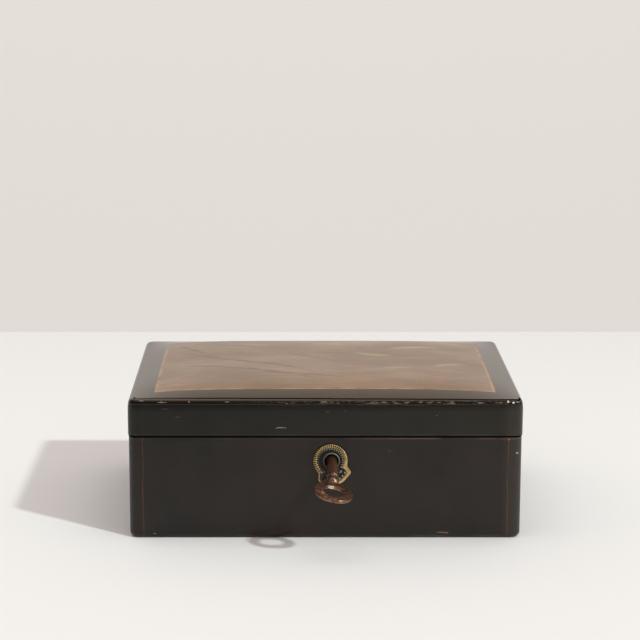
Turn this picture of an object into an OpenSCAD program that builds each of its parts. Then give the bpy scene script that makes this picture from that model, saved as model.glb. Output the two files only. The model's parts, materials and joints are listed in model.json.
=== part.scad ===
// Lacquered wooden deed box with a domed, hinged lid, a sunk box lock and its key.
// Millimetres. The origin is the middle of the underside, +Z is up and the front faces -Y.

/* [Case] */
// Width of the case over its end boards
case_w = 249.2; // [200:0.2:320]
// Depth of the case from front to back
case_d = 178.2; // [140:0.2:240]
// Height of the case up to the seam
case_h = 66.5; // [62:0.5:110]
// Thickness of the four case boards
wall_t = 9; // [9:0.5:12]
// Radius of the upright corners
corner_r = 6; // [4:0.5:8]
// Thickness of the bottom board
bottom_t = 4.5; // [4:0.5:8]
// Radius along the lower edge of the bottom board
bottom_edge_r = 3.3; // [1:0.1:3.8]
// Thickness of the paper on the floor
lining_t = 0.6; // [0.4:0.1:1.5]

/* [Board joints] */
// Length of the tongues on the ends of the front and back pieces
tongue_l = 3.5; // [2:0.5:5]
// Thickness of the tongues
tongue_t = 3; // [2:0.5:4]
// Height left whole above a tongue
tongue_stop = 8; // [4:1:14]
// Radius of the wooden pegs
peg_r = 1.2; // [0.8:0.1:1.5]
// Length of the pegs through the corners
peg_l = 20; // [15:1:30]
// Length of the pegs up through the bottom board
bottom_peg_l = 14; // [10:1:20]
// Height of the lower pegs of the case above the bottom board
peg_rise = 12; // [8:1:16]
// Depth of the upper pegs of the case below the seam
peg_drop = 16; // [13:1:20]

/* [Lid] */
// How far the lid stands out past the case on every side
lid_overhang = 0.4; // [0:0.1:1]
// Gap between the case and the closed lid
seam_gap = 0.45; // [0.35:0.05:0.7]
// Height of the lid rails
rail_h = 20.35; // [14:0.05:40]
// Thickness of the lid rails
rail_t = 10; // [9:0.5:13]
// Thickness of the top board at its edge
top_edge_t = 3.2; // [2.4:0.1:6]
// Radius along the upper edge of the top board
top_edge_r = 3; // [1:0.1:3.2]
// Rise of the domed top above its edge
dome_rise = 7; // [2:0.5:14]

/* [Hinges] */
// Length of each hinge
hinge_l = 38; // [28:1:50]
// Distance from each end of the case to the middle of its hinge
hinge_x = 48.6; // [46.6:0.2:69]
// Distance of the hinge axis inside the back of the case
hinge_inset = 2.5; // [2.3:0.1:3]
// Outer radius of the knuckles
knuckle_r = 2.2; // [1.8:0.1:2.3]
// Radius of the hinge pins
hinge_pin_r = 1; // [0.7:0.05:1.2]
// Thickness of the hinge leaves
leaf_t = 1.2; // [0.8:0.1:1.5]
// Reach of the leaves from the hinge axis
leaf_w = 6; // [5.5:0.1:6.2]
// Angle at which the bevelled back edges meet and stop the lid
lid_stop = 100; // [92:1:110]

/* [Lock] */
// Distance of the keyhole to the right of the middle of the front
key_x = 4.3; // [-10:0.1:10]
// Distance of the keyhole below the seam
key_drop = 15.3; // [14.6:0.1:15.4]
// Wood left in front of the lock
web_t = 2.2; // [2:0.1:2.4]
// Thickness of the lock cap
cap_t = 0.8; // [0.6:0.1:1]
// Thickness of the lock plate and its selvage
plate_t = 1.2; // [1:0.1:1.4]
// Inside width of the lock
lock_w = 43.2; // [43:0.2:47]
// Inside height of the lock below the selvage
lock_h = 19.8; // [19.4:0.1:21]
// Thickness of the rim round the lock
lock_rim_t = 1; // [0.8:0.1:1.4]
// Length of the flange beyond the rim on each side
flange_l = 5.4; // [5:0.2:7]
// Thickness of the bolt
bolt_t = 2.2; // [1.8:0.1:2.4]
// Slide of the bolt for one turn of the key
bolt_travel = 6; // [5.6:0.1:6.2]
// Thickness of the bolt spring
spring_t = 0.5; // [0.3:0.1:0.8]

/* [Hook plate] */
// Length of the hook plate
hook_plate_l = 46; // [44:1:56]
// Width of the hook plate
hook_plate_w = 6.8; // [6:0.2:7.4]
// Thickness of the hooks
hook_t = 1.8; // [1.4:0.1:2]
// Width of the stem of each hook
hook_stem_w = 2.2; // [1.8:0.1:2.4]

/* [Escutcheon] */
// Radius of the round part of the escutcheon
plate_r = 10.9; // [10:0.1:12]
// Width of the raised rim
rim_w = 2.7; // [2:0.1:3]
// Thickness of the plate inside the rim
plate_base_t = 1; // [0.8:0.1:1.2]
// Thickness of the plate at the rim
plate_rim_t = 1.8; // [1.4:0.1:2]
// Radius of the hole for the key
keyhole_r = 4.45; // [4.3:0.05:4.6]
// How far the middle of the plate sits to the left of the key
plate_shift = 1.1; // [0.4:0.1:1.6]
// Turn of the plate, which sits askew, tail to the right
plate_turn = 16; // [0:1:25]

/* [Key] */
// Droop of the key below level
key_droop = 14; // [12:0.5:14.5]
// Turn of the key at rest from bit down, clockwise from the front
key_rest = 102; // [60:1:120]
// Radius of the shank
shank_r = 3.2; // [2.4:0.05:3.3]
// Radius of the collar beside the bow
collar_r = 3.75; // [3.4:0.05:4.2]
// Length of the collar
collar_l = 8; // [5:0.5:10]
// Distance from the keyhole to the middle of the bow
bow_reach = 38.5; // [34:0.5:46]
// Outer radius of the round ends of the bow
bow_r = 11; // [10:0.1:13]
// Radius of the round ends of the hole in the bow
bow_hole_r = 5.1; // [4.5:0.1:7]
// How much wider across than along the key the bow is
bow_stretch = 3; // [1:0.5:5]
// Thickness of the bow
bow_t = 2.6; // [2:0.1:3.6]
// Reach of the bit from the middle of the shank
bit_reach = 6.2; // [5.8:0.05:6.25]
// Length of the bit along the shank
bit_l = 2.4; // [1.6:0.1:2.6]
// Thickness of the bit
bit_t = 1.8; // [1.2:0.1:2]

/* [Fits] */
// Clearance between a wooden piece and the groove or pocket that it enters
wood_gap = 0.1; // [0.05:0.05:0.2]
// Clearance round pins, pegs, screws and rivets
pin_gap = 0.05; // [0.02:0.01:0.1]
// Clearance between metal pieces that slide or turn
slide_gap = 0.3; // [0.2:0.05:0.35]

/* [Hidden] */
$fn = 48;

// Overlap of a cut past the face that it opens
cut = 1;

// Case and lid
front_y = -case_d / 2;
back_y = case_d / 2;
inner_y = front_y + wall_t;
lid_w = case_w + 2 * lid_overhang;
lid_d = case_d + 2 * lid_overhang;
lid_z = case_h + seam_gap;
lid_top_z = lid_z + rail_h;

// Hinges
axis_y = back_y - hinge_inset;
axis_z = case_h + seam_gap / 2;
bevel = (lid_stop + 1) / 2;
knuckles = 5;
knuckle_gap = 0.2;
hinge_at = case_w / 2 - hinge_x;
hinge_screw_y = 4.1;
hinge_screw_span = 0.6;

// Screws: radius, head radius, head height and length
screw_r = 0.9;
screw_head_r = 1.7;
screw_head_h = 0.8;
screw_l = 7;
screw_slot = 0.5;

// Keyhole and the line of the key, which crosses the hole a little low and to its right
key_z = case_h - key_drop;
key_low = 0.5;
key_aside = 0.4;
hole_at = key_x - key_aside;
plate_at = key_x - plate_shift;
bit_clear = 0.5;
key_ref_y = front_y - plate_base_t / 2 - 0.3;
key_ref_z = key_z - key_low;

// Lock, from the front of the cap to the face of the plate
cap_y = front_y + web_t;
lock_y0 = cap_y + cap_t;
selvage_z = case_h - plate_t;
lock_z0 = selvage_z - lock_h;
flange_w = lock_w + 2 * (lock_rim_t + flange_l);
flange_drop = 2.5;
lock_screw_x = lock_w / 2 + lock_rim_t + flange_l / 2;
web_hole_r = 6.8;

// Bolt: its middle plane, lower edge, top edge and the prongs that catch the hooks
bolt_y = (lock_y0 + inner_y) / 2 - 0.9;
bolt_drop = 8.3;
bolt_z = selvage_z - bolt_drop;
bolt_bar_h = 4;
notch_h = 2.7;
bolt_end = 9.5;
prong_rise = 5.55;
prong_z = bolt_z + prong_rise;
prong_h = 1.8;
prong_l = 4.2;
post_w = 2.4;
throw_back = bolt_travel * key_rest / 360;
throw_on = bolt_travel - throw_back;
bit_y = (lock_y0 + inner_y) / 2;
sweep_r = bit_reach + 0.1;
bit_z = key_ref_z + (bit_y - key_ref_y) * tan(key_droop);
notch_half_sweep = acos((bolt_z - bit_z) / (sweep_r * cos(key_droop)));
notch_x = -bolt_travel * (180 - key_rest) / 360;
notch_w = 2 * (sweep_r * sin(notch_half_sweep) - bolt_travel * notch_half_sweep / 360
    + bit_t / 2 + slide_gap);
stump_x = -11.8;
stump_r = 0.9;
bolt_slot_z = bolt_z + 2;

// Hooks on the lid, each a stem with a beak to the left
hook_gap = 0.5;
beak_l = throw_on - hook_gap + slide_gap + 0.1;
beak_h = 1;
hook_w = beak_l + hook_stem_w;
hook_reach = 12;
hook_xs = [-hook_reach, hook_reach - hook_w];
hook_foot_z = bolt_z + bolt_bar_h + slide_gap;

// Spring under the bolt, bent from the left wall of the lock
spring_x = -12.3;
spring_r = lock_w / 2 + spring_x;
spring_z = bolt_z - 0.1 - spring_r;
spring_w = 2;
spring_end = 55;

// Rivets that hold the cap, left and right of the key
rivet_r = 0.7;
pillar_r = 1.3;
pillar_xz = [[-14.5, 2.6], [14.5, 2.6], [18.2, 14]];

// Key
bit_s = -(bit_y - key_ref_y) / cos(key_droop);
nose_s = bit_s - bit_l / 2 - 0.4;
shank_tip = 0.5;

// Top board: its edge radius, kept inside the thickness of its edge, and the steps of its surface
edge_r = min(top_edge_r, top_edge_t - 0.2);
corner_steps = 5;
side_steps = 8;
edge_rings = 4;
dome_rings = 10;

// Plan of a box with rounded upright corners
module plan(w, d, r) {
    square([w - 2 * r, d], center = true);
    square([w, d - 2 * r], center = true);
    for (x = [-1, 1], y = [-1, 1])
        translate([x * (w / 2 - r), y * (d / 2 - r)]) circle(r);
}

// Wood screw with its flat head at z = 0, pointing down
module wood_screw(l) {
    difference() {
        union() {
            translate([0, 0, -screw_head_h])
                cylinder(h = screw_head_h, r1 = screw_r, r2 = screw_head_r);
            translate([0, 0, -l + screw_r]) cylinder(h = l - screw_r - screw_head_h, r = screw_r);
            translate([0, 0, -l]) cylinder(h = screw_r, r1 = 0.1, r2 = screw_r);
        }
        cube([2 * screw_head_r + cut, screw_slot, screw_slot], center = true);
    }
}

// Hole that a wood screw fills
module screw_hole(l) {
    translate([0, 0, -screw_head_h])
        cylinder(h = screw_head_h, r1 = screw_r + pin_gap, r2 = screw_head_r + pin_gap);
    translate([0, 0, -l - pin_gap]) cylinder(h = l, r = screw_r + pin_gap);
    cylinder(h = cut, r = screw_head_r + pin_gap);
}

// Case boards

// Everything that the bevel takes off the case behind the hinge axis
module case_bevel() {
    run = hinge_inset + lid_overhang + cut;
    translate([-lid_w, axis_y, axis_z]) rotate([90, 0, 90])
        linear_extrude(2 * lid_w)
            polygon([[0, 0], [run, -run * tan(bevel)], [run, cut], [0, cut]]);
}

// The same for the lid
module lid_bevel() {
    translate([0, 0, 2 * axis_z]) mirror([0, 0, 1]) case_bevel();
}

// Front or back board at y = 0 to wall_t, with a tongue on each end
module long_board(w, h, t, stop) {
    translate([-w / 2 + t, 0, 0]) cube([w - 2 * t, t, h]);
    translate([-w / 2 + t - tongue_l, (t - tongue_t) / 2, 0])
        cube([w - 2 * t + 2 * tongue_l, tongue_t, h - stop]);
}

// Grooves for the tongues of one end board
module tongue_grooves(w, d, h, t, stop) {
    for (s = [-1, 1])
        translate([w / 2 - t - cut, s * (d / 2 - t / 2) - tongue_t / 2 - wood_gap / 2, -cut])
            cube([tongue_l + wood_gap + cut, tongue_t + wood_gap, h - stop + wood_gap + cut]);
}

// End board on the right, rounded on its outer corners
module end_board(w, d, h, t, stop) {
    difference() {
        linear_extrude(h) intersection() {
            plan(w, d, corner_r);
            translate([w / 2 - t, -d / 2]) square([t, d]);
        }
        tongue_grooves(w, d, h, t, stop);
    }
}

// Pegs through both ends of the front and back pieces, two heights at each corner
module corner_pegs(w, d, t, zs, r, l) {
    for (x = [0, 1], y = [-1, 1], z = zs)
        mirror([x, 0, 0]) translate([w / 2 - l, y * (d / 2 - t / 2), z])
            rotate([0, 90, 0]) cylinder(h = l, r = r);
}

case_peg_zs = [bottom_t + peg_rise, case_h - peg_drop];
lid_peg_zs = [lid_z + rail_h / 2];

module case_peg_holes() {
    corner_pegs(case_w, case_d, wall_t, case_peg_zs, peg_r + pin_gap, peg_l);
}

module case_pegs() {
    color("#8a6a3c") intersection() {
        corner_pegs(case_w, case_d, wall_t, case_peg_zs, peg_r, peg_l);
        linear_extrude(case_h) plan(case_w, case_d, corner_r);
    }
}

// Places of the pegs up through the bottom board
module at_bottom_pegs() {
    for (x = [-1, 1], y = [-1, 1], k = [0.25, 0.75])
        translate([x * k * (case_w / 2 - wall_t), y * (case_d / 2 - wall_t / 2), 0]) children();
    for (x = [-1, 1], y = [-1, 0, 1])
        translate([x * (case_w / 2 - wall_t / 2), y * case_d / 4, 0]) children();
}

module bottom_peg_holes() {
    at_bottom_pegs() translate([0, 0, -cut])
        cylinder(h = bottom_peg_l + cut, r = peg_r + pin_gap);
}

module bottom_pegs() {
    color("#8a6a3c") at_bottom_pegs() cylinder(h = bottom_peg_l, r = peg_r);
}

// Pocket for the lock, open to the inside and under the selvage, and the hole to the key
module lock_pocket() {
    half = lock_w / 2 + lock_rim_t + wood_gap;
    low = lock_z0 - lock_rim_t - wood_gap;
    translate([key_x - half, cap_y, low]) cube([2 * half, wall_t, case_h - low + cut]);
    translate([key_x - flange_w / 2 - wood_gap, cap_y, selvage_z])
        cube([flange_w + 2 * wood_gap, wall_t, plate_t + cut]);
    translate([key_x, front_y - cut, key_z]) rotate([-90, 0, 0])
        cylinder(h = web_t + 2 * cut, r = web_hole_r);
}

module front_board() {
    color("#2b2622") difference() {
        translate([0, front_y, bottom_t]) long_board(case_w, case_h - bottom_t, wall_t, tongue_stop);
        lock_pocket();
        at_lock_screws() screw_hole(screw_l);
        at_escutcheon_pins() cylinder(h = pin_depth + plate_base_t, r = pin_shank_r + pin_gap);
        case_peg_holes();
        bottom_peg_holes();
    }
}

module back_board() {
    color("#2b2622") difference() {
        translate([0, back_y, bottom_t]) mirror([0, 1, 0])
            long_board(case_w, case_h - bottom_t, wall_t, tongue_stop);
        case_bevel();
        for (s = [-1, 1]) translate([s * hinge_at, 0, 0]) hinge_gain(-1);
        case_peg_holes();
        bottom_peg_holes();
    }
}

module right_end_board() {
    color("#2b2622") difference() {
        translate([0, 0, bottom_t]) end_board(case_w, case_d, case_h - bottom_t, wall_t, tongue_stop);
        case_bevel();
        case_peg_holes();
        bottom_peg_holes();
    }
}

module left_end_board() {
    mirror([1, 0, 0]) right_end_board();
}

// Section of the bottom board from the middle of a corner outwards
module bottom_section() {
    intersection() {
        union() {
            square([corner_r - bottom_edge_r, bottom_t]);
            translate([0, bottom_edge_r]) square([corner_r, bottom_t]);
            translate([corner_r - bottom_edge_r, bottom_edge_r]) circle(bottom_edge_r);
        }
        square([corner_r, bottom_t]);
    }
}

module bottom_board() {
    long = case_w - 2 * corner_r;
    deep = case_d - 2 * corner_r;
    color("#26211d") difference() {
        union() {
            translate([-long / 2, -deep / 2, 0]) cube([long, deep, bottom_t]);
            for (a = [0, 180]) rotate([0, 0, a]) {
                translate([long / 2, deep / 2, 0]) rotate([90, 0, 0])
                    linear_extrude(deep) bottom_section();
                translate([-long / 2, deep / 2, 0]) rotate([90, 0, 90])
                    linear_extrude(long) bottom_section();
                translate([long / 2, deep / 2, 0]) rotate_extrude(angle = 90) bottom_section();
                translate([-long / 2, deep / 2, 0]) rotate([0, 0, 90])
                    rotate_extrude(angle = 90) bottom_section();
            }
        }
        bottom_peg_holes();
    }
}

module floor_lining() {
    color("#7d3b2c") translate([-case_w / 2 + wall_t + wood_gap, inner_y + wood_gap, bottom_t])
        cube([case_w - 2 * (wall_t + wood_gap), case_d - 2 * (wall_t + wood_gap), lining_t]);
}

// Lid

module lid_peg_holes() {
    corner_pegs(lid_w, lid_d, rail_t, lid_peg_zs, peg_r + pin_gap, peg_l);
}

module lid_pegs() {
    color("#8a6a3c") intersection() {
        corner_pegs(lid_w, lid_d, rail_t, lid_peg_zs, peg_r, peg_l);
        linear_extrude(lid_top_z) plan(lid_w, lid_d, corner_r);
    }
}

module lid_front_rail() {
    color("#2a2824") difference() {
        translate([0, -lid_d / 2, lid_z]) long_board(lid_w, rail_h, rail_t, tongue_stop);
        translate([key_x - hook_plate_l / 2 - wood_gap, bolt_y - hook_plate_w / 2 - wood_gap, lid_z - cut])
            cube([hook_plate_l + 2 * wood_gap, hook_plate_w + 2 * wood_gap, plate_t + cut]);
        at_hook_screws() screw_hole(screw_l);
        lid_peg_holes();
    }
}

module lid_back_rail() {
    color("#2a2824") difference() {
        translate([0, lid_d / 2, lid_z]) mirror([0, 1, 0])
            long_board(lid_w, rail_h, rail_t, tongue_stop);
        lid_bevel();
        for (s = [-1, 1]) translate([s * hinge_at, 0, 0]) hinge_gain(1);
        lid_peg_holes();
    }
}

module lid_right_rail() {
    color("#2a2824") difference() {
        translate([0, 0, lid_z]) end_board(lid_w, lid_d, rail_h, rail_t, tongue_stop);
        lid_bevel();
        lid_peg_holes();
    }
}

module lid_left_rail() {
    mirror([1, 0, 0]) lid_right_rail();
}

// Points of one side from 0 to 1, closer together towards its ends
function side_share(i) = (1 - cos(180 * i / side_steps)) / 2;

// Ring of points round the lid, drawn in from its edge and kept rounded at the corners
function lid_ring(inset) =
    let (r = max(corner_r - inset, 0.5), hx = lid_w / 2 - inset - r, hy = lid_d / 2 - inset - r)
    [for (q = [0:3])
        let (c = [[hx, hy], [-hx, hy], [-hx, -hy], [hx, -hy]][q],
             n = [[-hx, hy], [-hx, -hy], [hx, -hy], [hx, hy]][q],
             a = 90 * q)
        each concat(
            [for (k = [0:corner_steps])
                c + r * [cos(a + 90 * k / corner_steps), sin(a + 90 * k / corner_steps)]],
            [for (i = [1:side_steps - 1])
                c + (n - c) * side_share(i) + r * [cos(a + 90), sin(a + 90)]])];

// Height of the dome over its edge, from nothing at the sides to its full rise in the middle
function dome(p) = dome_rise
    * (1 - pow(abs(p.x) / (lid_w / 2 - edge_r), 4))
    * (1 - pow(abs(p.y) / (lid_d / 2 - edge_r), 4));

// Share of the way out from the middle for each ring of the dome
function dome_share(k) = 1 - pow(k / dome_rings, 1.4);

function edge_ring(k) =
    let (a = 90 * k / edge_rings)
    [for (p = lid_ring(edge_r * (1 - cos(a)))) [p.x, p.y, top_edge_t - edge_r * (1 - sin(a))]];

function dome_ring(k) =
    [for (p = lid_ring(edge_r)) let (q = p * dome_share(k)) [q.x, q.y, top_edge_t + dome(q)]];

module lid_top_board() {
    foot = [for (p = lid_ring(0)) [p.x, p.y, 0]];
    rings = concat([foot], [for (k = [0:edge_rings]) edge_ring(k)],
        [for (k = [1:dome_rings - 1]) dome_ring(k)]);
    n = len(foot);
    last = (len(rings) - 1) * n;
    points = concat([for (r = rings) each r], [[0, 0, top_edge_t + dome_rise], [0, 0, 0]]);
    faces = concat(
        [for (i = [0:n - 1]) [i, (i + 1) % n, last + n + 1]],
        [for (k = [0:len(rings) - 2], i = [0:n - 1])
            let (j = (i + 1) % n)
            each [[k * n + i, k * n + n + i, k * n + j], [k * n + j, k * n + n + i, k * n + n + j]]],
        [for (i = [0:n - 1]) [last + (i + 1) % n, last + i, last + n]]);
    color("#5a4a36") translate([0, 0, lid_top_z]) polyhedron(points, faces, convexity = 4);
}

// Hinges

// What one hinge takes out of the case (side -1) or the lid (side 1)
module hinge_gain(side) {
    z = side < 0 ? case_h - leaf_t : lid_z - cut;
    translate([-hinge_l / 2 - wood_gap, axis_y - leaf_w - wood_gap, z])
        cube([hinge_l + 2 * wood_gap, leaf_w + wood_gap, leaf_t + cut]);
    translate([-hinge_l / 2 - wood_gap, axis_y, axis_z]) rotate([0, 90, 0])
        cylinder(h = hinge_l + 2 * wood_gap, r = knuckle_r + slide_gap);
    at_hinge_screws(side) screw_hole(screw_l);
}

// Places of the screws in one leaf, heads towards the seam
module at_hinge_screws(side) {
    for (x = [-1, 1])
        translate([x * hinge_l * hinge_screw_span / 2, axis_y - hinge_screw_y, side < 0 ? case_h : lid_z])
            rotate([side < 0 ? 0 : 180, 0, 0]) children();
}

// Leaf with the knuckles of one side; the case leaf has one knuckle more than the lid leaf
module hinge_leaf(side) {
    pitch = hinge_l / knuckles;
    first = side < 0 ? 0 : 1;
    z = side < 0 ? case_h - leaf_t : lid_z;
    color("#8f6d33") difference() {
        union() {
            translate([-hinge_l / 2, axis_y - leaf_w, z])
                cube([hinge_l, leaf_w - knuckle_r - slide_gap, leaf_t]);
            for (i = [first : 2 : knuckles - 1])
                translate([-hinge_l / 2 + i * pitch + knuckle_gap / 2, 0, 0]) {
                    translate([0, axis_y - leaf_w, z]) cube([pitch - knuckle_gap, leaf_w, leaf_t]);
                    translate([0, axis_y, axis_z]) rotate([0, 90, 0])
                        cylinder(h = pitch - knuckle_gap, r = knuckle_r);
                }
        }
        translate([-hinge_l / 2 - cut, axis_y, axis_z]) rotate([0, 90, 0])
            cylinder(h = hinge_l + 2 * cut, r = hinge_pin_r + pin_gap);
        at_hinge_screws(side) screw_hole(screw_l);
    }
}

module hinge_pin() {
    color("#a07d3f") translate([-hinge_l / 2, axis_y, axis_z]) rotate([0, 90, 0])
        cylinder(h = hinge_l, r = hinge_pin_r);
}

module left_hinge_case_leaf() translate([-hinge_at, 0, 0]) hinge_leaf(-1);
module left_hinge_lid_leaf() translate([-hinge_at, 0, 0]) hinge_leaf(1);
module left_hinge_pin() translate([-hinge_at, 0, 0]) hinge_pin();
module right_hinge_case_leaf() translate([hinge_at, 0, 0]) hinge_leaf(-1);
module right_hinge_lid_leaf() translate([hinge_at, 0, 0]) hinge_leaf(1);
module right_hinge_pin() translate([hinge_at, 0, 0]) hinge_pin();

module hinge_case_screws() {
    color("#8f6d33") for (s = [-1, 1])
        translate([s * hinge_at, 0, 0]) at_hinge_screws(-1) wood_screw(screw_l);
}

module hinge_lid_screws() {
    color("#8f6d33") for (s = [-1, 1])
        translate([s * hinge_at, 0, 0]) at_hinge_screws(1) wood_screw(screw_l);
}

// Escutcheon

// Corners of the tail by angle from its middle line and distance from the keyhole
tail_neck = [57, plate_r - 0.3];
tail_wing = [46.6, 1.41 * plate_r];
tail_foot = [12.2, 1.54 * plate_r];
pin_shank_r = 0.5;
pin_head_r = 1.1;
pin_depth = 1.7;
pin_at = [26, 9.6];

// Ring round the hole for the key, and the slot below it that the bit passes
hole_ring_w = 0.9;
hole_ring_h = 0.4;
slot_w = bit_t + 3.2;
slot_reach = key_low + bit_reach + 2 * bit_clear;

function tail_point(p, side) = p[1] * [side * sin(p[0]), -cos(p[0])];

function tail_points() = [
    [0, 0], tail_point(tail_neck, -1), tail_point(tail_wing, -1), tail_point(tail_foot, -1),
    tail_point(tail_foot, 1), tail_point(tail_wing, 1), tail_point(tail_neck, 1)];

// Point where two edges cross once each has moved inwards by d; the corners run anticlockwise
function inner_corner(a, b, c, d) =
    let (u = (b - a) / norm(b - a), v = (c - b) / norm(c - b),
         m = [-u.y, u.x], n = [-v.y, v.x])
    b + d * (m + n) / (1 + m * n);

// Outline of the plate, drawn in by d
module plate_outline(d) {
    p = tail_points();
    inner = [for (i = [2:5]) inner_corner(p[i - 1], p[i], p[i + 1], d)];
    circle(plate_r - d);
    if (d == 0) polygon(p);
    else polygon(concat([p[0]], [p[1] * (plate_r - d) / plate_r], inner, [p[6] * (plate_r - d) / plate_r]));
}

// Stands a flat drawing on the front of the case at x, as seen, and gives it a thickness outwards
module on_front(x, h, from = 0) {
    translate([x, front_y - from, key_z]) rotate([90, 0, 0]) linear_extrude(h - from) children();
}

module escutcheon() {
    color("#a8843f") difference() {
        union() {
            on_front(plate_at, plate_base_t) rotate(plate_turn) plate_outline(0);
            on_front(plate_at, plate_rim_t) rotate(plate_turn) difference() {
                plate_outline(0);
                plate_outline(rim_w);
            }
            on_front(hole_at, plate_base_t + hole_ring_h) circle(keyhole_r + hole_ring_w);
        }
        on_front(hole_at, 2 * plate_rim_t, -cut) {
            circle(keyhole_r);
            rotate(plate_turn) translate([-slot_w / 2, -slot_reach]) square([slot_w, slot_reach]);
        }
        at_escutcheon_pins() cylinder(h = 3 * plate_base_t, r = pin_shank_r + pin_gap, center = true);
    }
}

// Places of the two pins in the tail, pointing into the wood from the face of the plate
module at_escutcheon_pins() {
    for (s = [-1, 1]) {
        p = tail_point(pin_at, s);
        translate([plate_at, front_y - plate_base_t, key_z]) rotate([90, 0, 0]) rotate(plate_turn)
            translate([p.x, p.y, 0]) mirror([0, 0, 1]) children();
    }
}

module escutcheon_pins() {
    color("#a8843f") at_escutcheon_pins() {
        cylinder(h = plate_base_t + pin_depth, r = pin_shank_r);
        intersection() {
            translate([0, 0, 0.6]) sphere(r = sqrt(pin_head_r * pin_head_r + 0.36));
            translate([0, 0, -2]) cylinder(h = 2, r = 2 * pin_head_r);
        }
    }
}

// Lock

// Places of the screws: two down through the selvage and two low in the plate
module at_lock_screws() {
    for (s = [-1, 1]) {
        translate([key_x + s * lock_screw_x, bolt_y, case_h]) children();
        translate([key_x + s * lock_screw_x, inner_y + plate_t, lock_z0 + 3]) rotate([-90, 0, 0])
            children();
    }
}

module lock_screws() {
    color("#8f6d33") at_lock_screws() wood_screw(screw_l);
}

// Moves a drawing in x and z to the lock and gives it a thickness from y0 to y1
module in_lock(y0, y1) {
    translate([key_x, y1, 0]) rotate([90, 0, 0]) linear_extrude(y1 - y0) children();
}

// Places of the rivets that hold the cap, and of the stump that guides the bolt
module at_rivets() {
    for (p = pillar_xz) translate([key_x + p[0], inner_y, lock_z0 + p[1]]) rotate([90, 0, 0]) children();
}

module at_stump() {
    translate([key_x + stump_x, inner_y, bolt_slot_z]) rotate([90, 0, 0]) children();
}

module rivet_holes() {
    depth = 2 * (inner_y - cap_y + cut);
    at_rivets() cylinder(h = depth, r = rivet_r + pin_gap, center = true);
    at_stump() cylinder(h = depth, r = rivet_r + pin_gap, center = true);
}

// Pillar between plate and cap with a shank riveted through both
module pillar(r) {
    inside = inner_y - lock_y0;
    cylinder(h = inside, r = r);
    translate([0, 0, -plate_t]) cylinder(h = inside + plate_t + cap_t, r = rivet_r);
}

module lock_rivets() {
    color("#8f6d33") {
        at_rivets() pillar(pillar_r);
        at_stump() pillar(stump_r);
    }
}

module lock_plate() {
    slot_w = hook_t + 1;
    color("#97763a") difference() {
        union() {
            translate([key_x - flange_w / 2, inner_y, lock_z0 - lock_rim_t - flange_drop])
                cube([flange_w, plate_t, case_h - lock_z0 + lock_rim_t + flange_drop]);
            translate([key_x - flange_w / 2, cap_y, selvage_z])
                cube([flange_w, inner_y - cap_y + plate_t, plate_t]);
        }
        for (x = hook_xs) translate([key_x + x - 0.5, bolt_y - slot_w / 2, selvage_z - cut])
            cube([hook_w + 1, slot_w, plate_t + 2 * cut]);
        rivet_holes();
        at_lock_screws() screw_hole(screw_l);
    }
}

module lock_rim() {
    color("#8a6a33") in_lock(lock_y0, inner_y) difference() {
        translate([-lock_w / 2 - lock_rim_t, lock_z0 - lock_rim_t])
            square([lock_w + 2 * lock_rim_t, lock_h + lock_rim_t]);
        translate([-lock_w / 2, lock_z0]) square([lock_w, lock_h + cut]);
    }
}

module lock_cap() {
    mid_z = key_ref_z + (lock_y0 - cap_t / 2 - key_ref_y) * tan(key_droop);
    hole_r = shank_r / cos(key_droop) + slide_gap + 0.25;
    color("#97763a") difference() {
        in_lock(cap_y, lock_y0) difference() {
            translate([-lock_w / 2 - lock_rim_t, lock_z0 - lock_rim_t])
                square([lock_w + 2 * lock_rim_t, lock_h + lock_rim_t]);
            translate([0, mid_z]) circle(hole_r);
            translate([-bit_t / 2 - bit_clear, mid_z - bit_reach - bit_clear])
                square([bit_t + 2 * bit_clear, bit_reach + bit_clear]);
        }
        rivet_holes();
    }
}

module lock_bolt() {
    left = hook_xs[0] - hook_gap - prong_l - post_w;
    slot_left = stump_x - throw_on - stump_r - slide_gap;
    slot_right = stump_x + throw_back + stump_r + slide_gap;
    slot_h = 2 * stump_r + 0.2;
    color("#b08d4a") in_lock(bolt_y - bolt_t / 2, bolt_y + bolt_t / 2) difference() {
        union() {
            translate([left, bolt_z]) square([bolt_end - left, bolt_bar_h]);
            for (x = hook_xs) translate([x - hook_gap - prong_l, 0]) {
                translate([-post_w, bolt_z]) square([post_w, prong_z + prong_h - bolt_z]);
                translate([-post_w, prong_z]) square([post_w + prong_l, prong_h]);
            }
        }
        translate([notch_x - notch_w / 2, bolt_z - cut]) square([notch_w, notch_h + cut]);
        translate([slot_left, bolt_slot_z - slot_h / 2]) square([slot_right - slot_left, slot_h]);
    }
}

module lock_spring() {
    color("#6d6a60") in_lock(bolt_y - spring_w / 2, bolt_y + spring_w / 2) {
        difference() {
            translate([spring_x, spring_z]) circle(spring_r);
            translate([spring_x, spring_z]) circle(spring_r - spring_t);
            translate([spring_x - 2 * spring_r, spring_z - 2 * spring_r])
                square([4 * spring_r, 2 * spring_r]);
            translate([spring_x, spring_z]) polygon([
                [0, 0], [4 * spring_r, 0],
                4 * spring_r * [cos(spring_end), sin(spring_end)]]);
        }
        translate([-lock_w / 2, lock_z0]) square([spring_t, spring_z - lock_z0]);
    }
}

// Hook plate under the front of the lid

module at_hook_screws() {
    for (s = [-1, 1])
        translate([key_x + s * (hook_plate_l / 2 - 3), bolt_y, lid_z]) rotate([180, 0, 0]) children();
}

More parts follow.
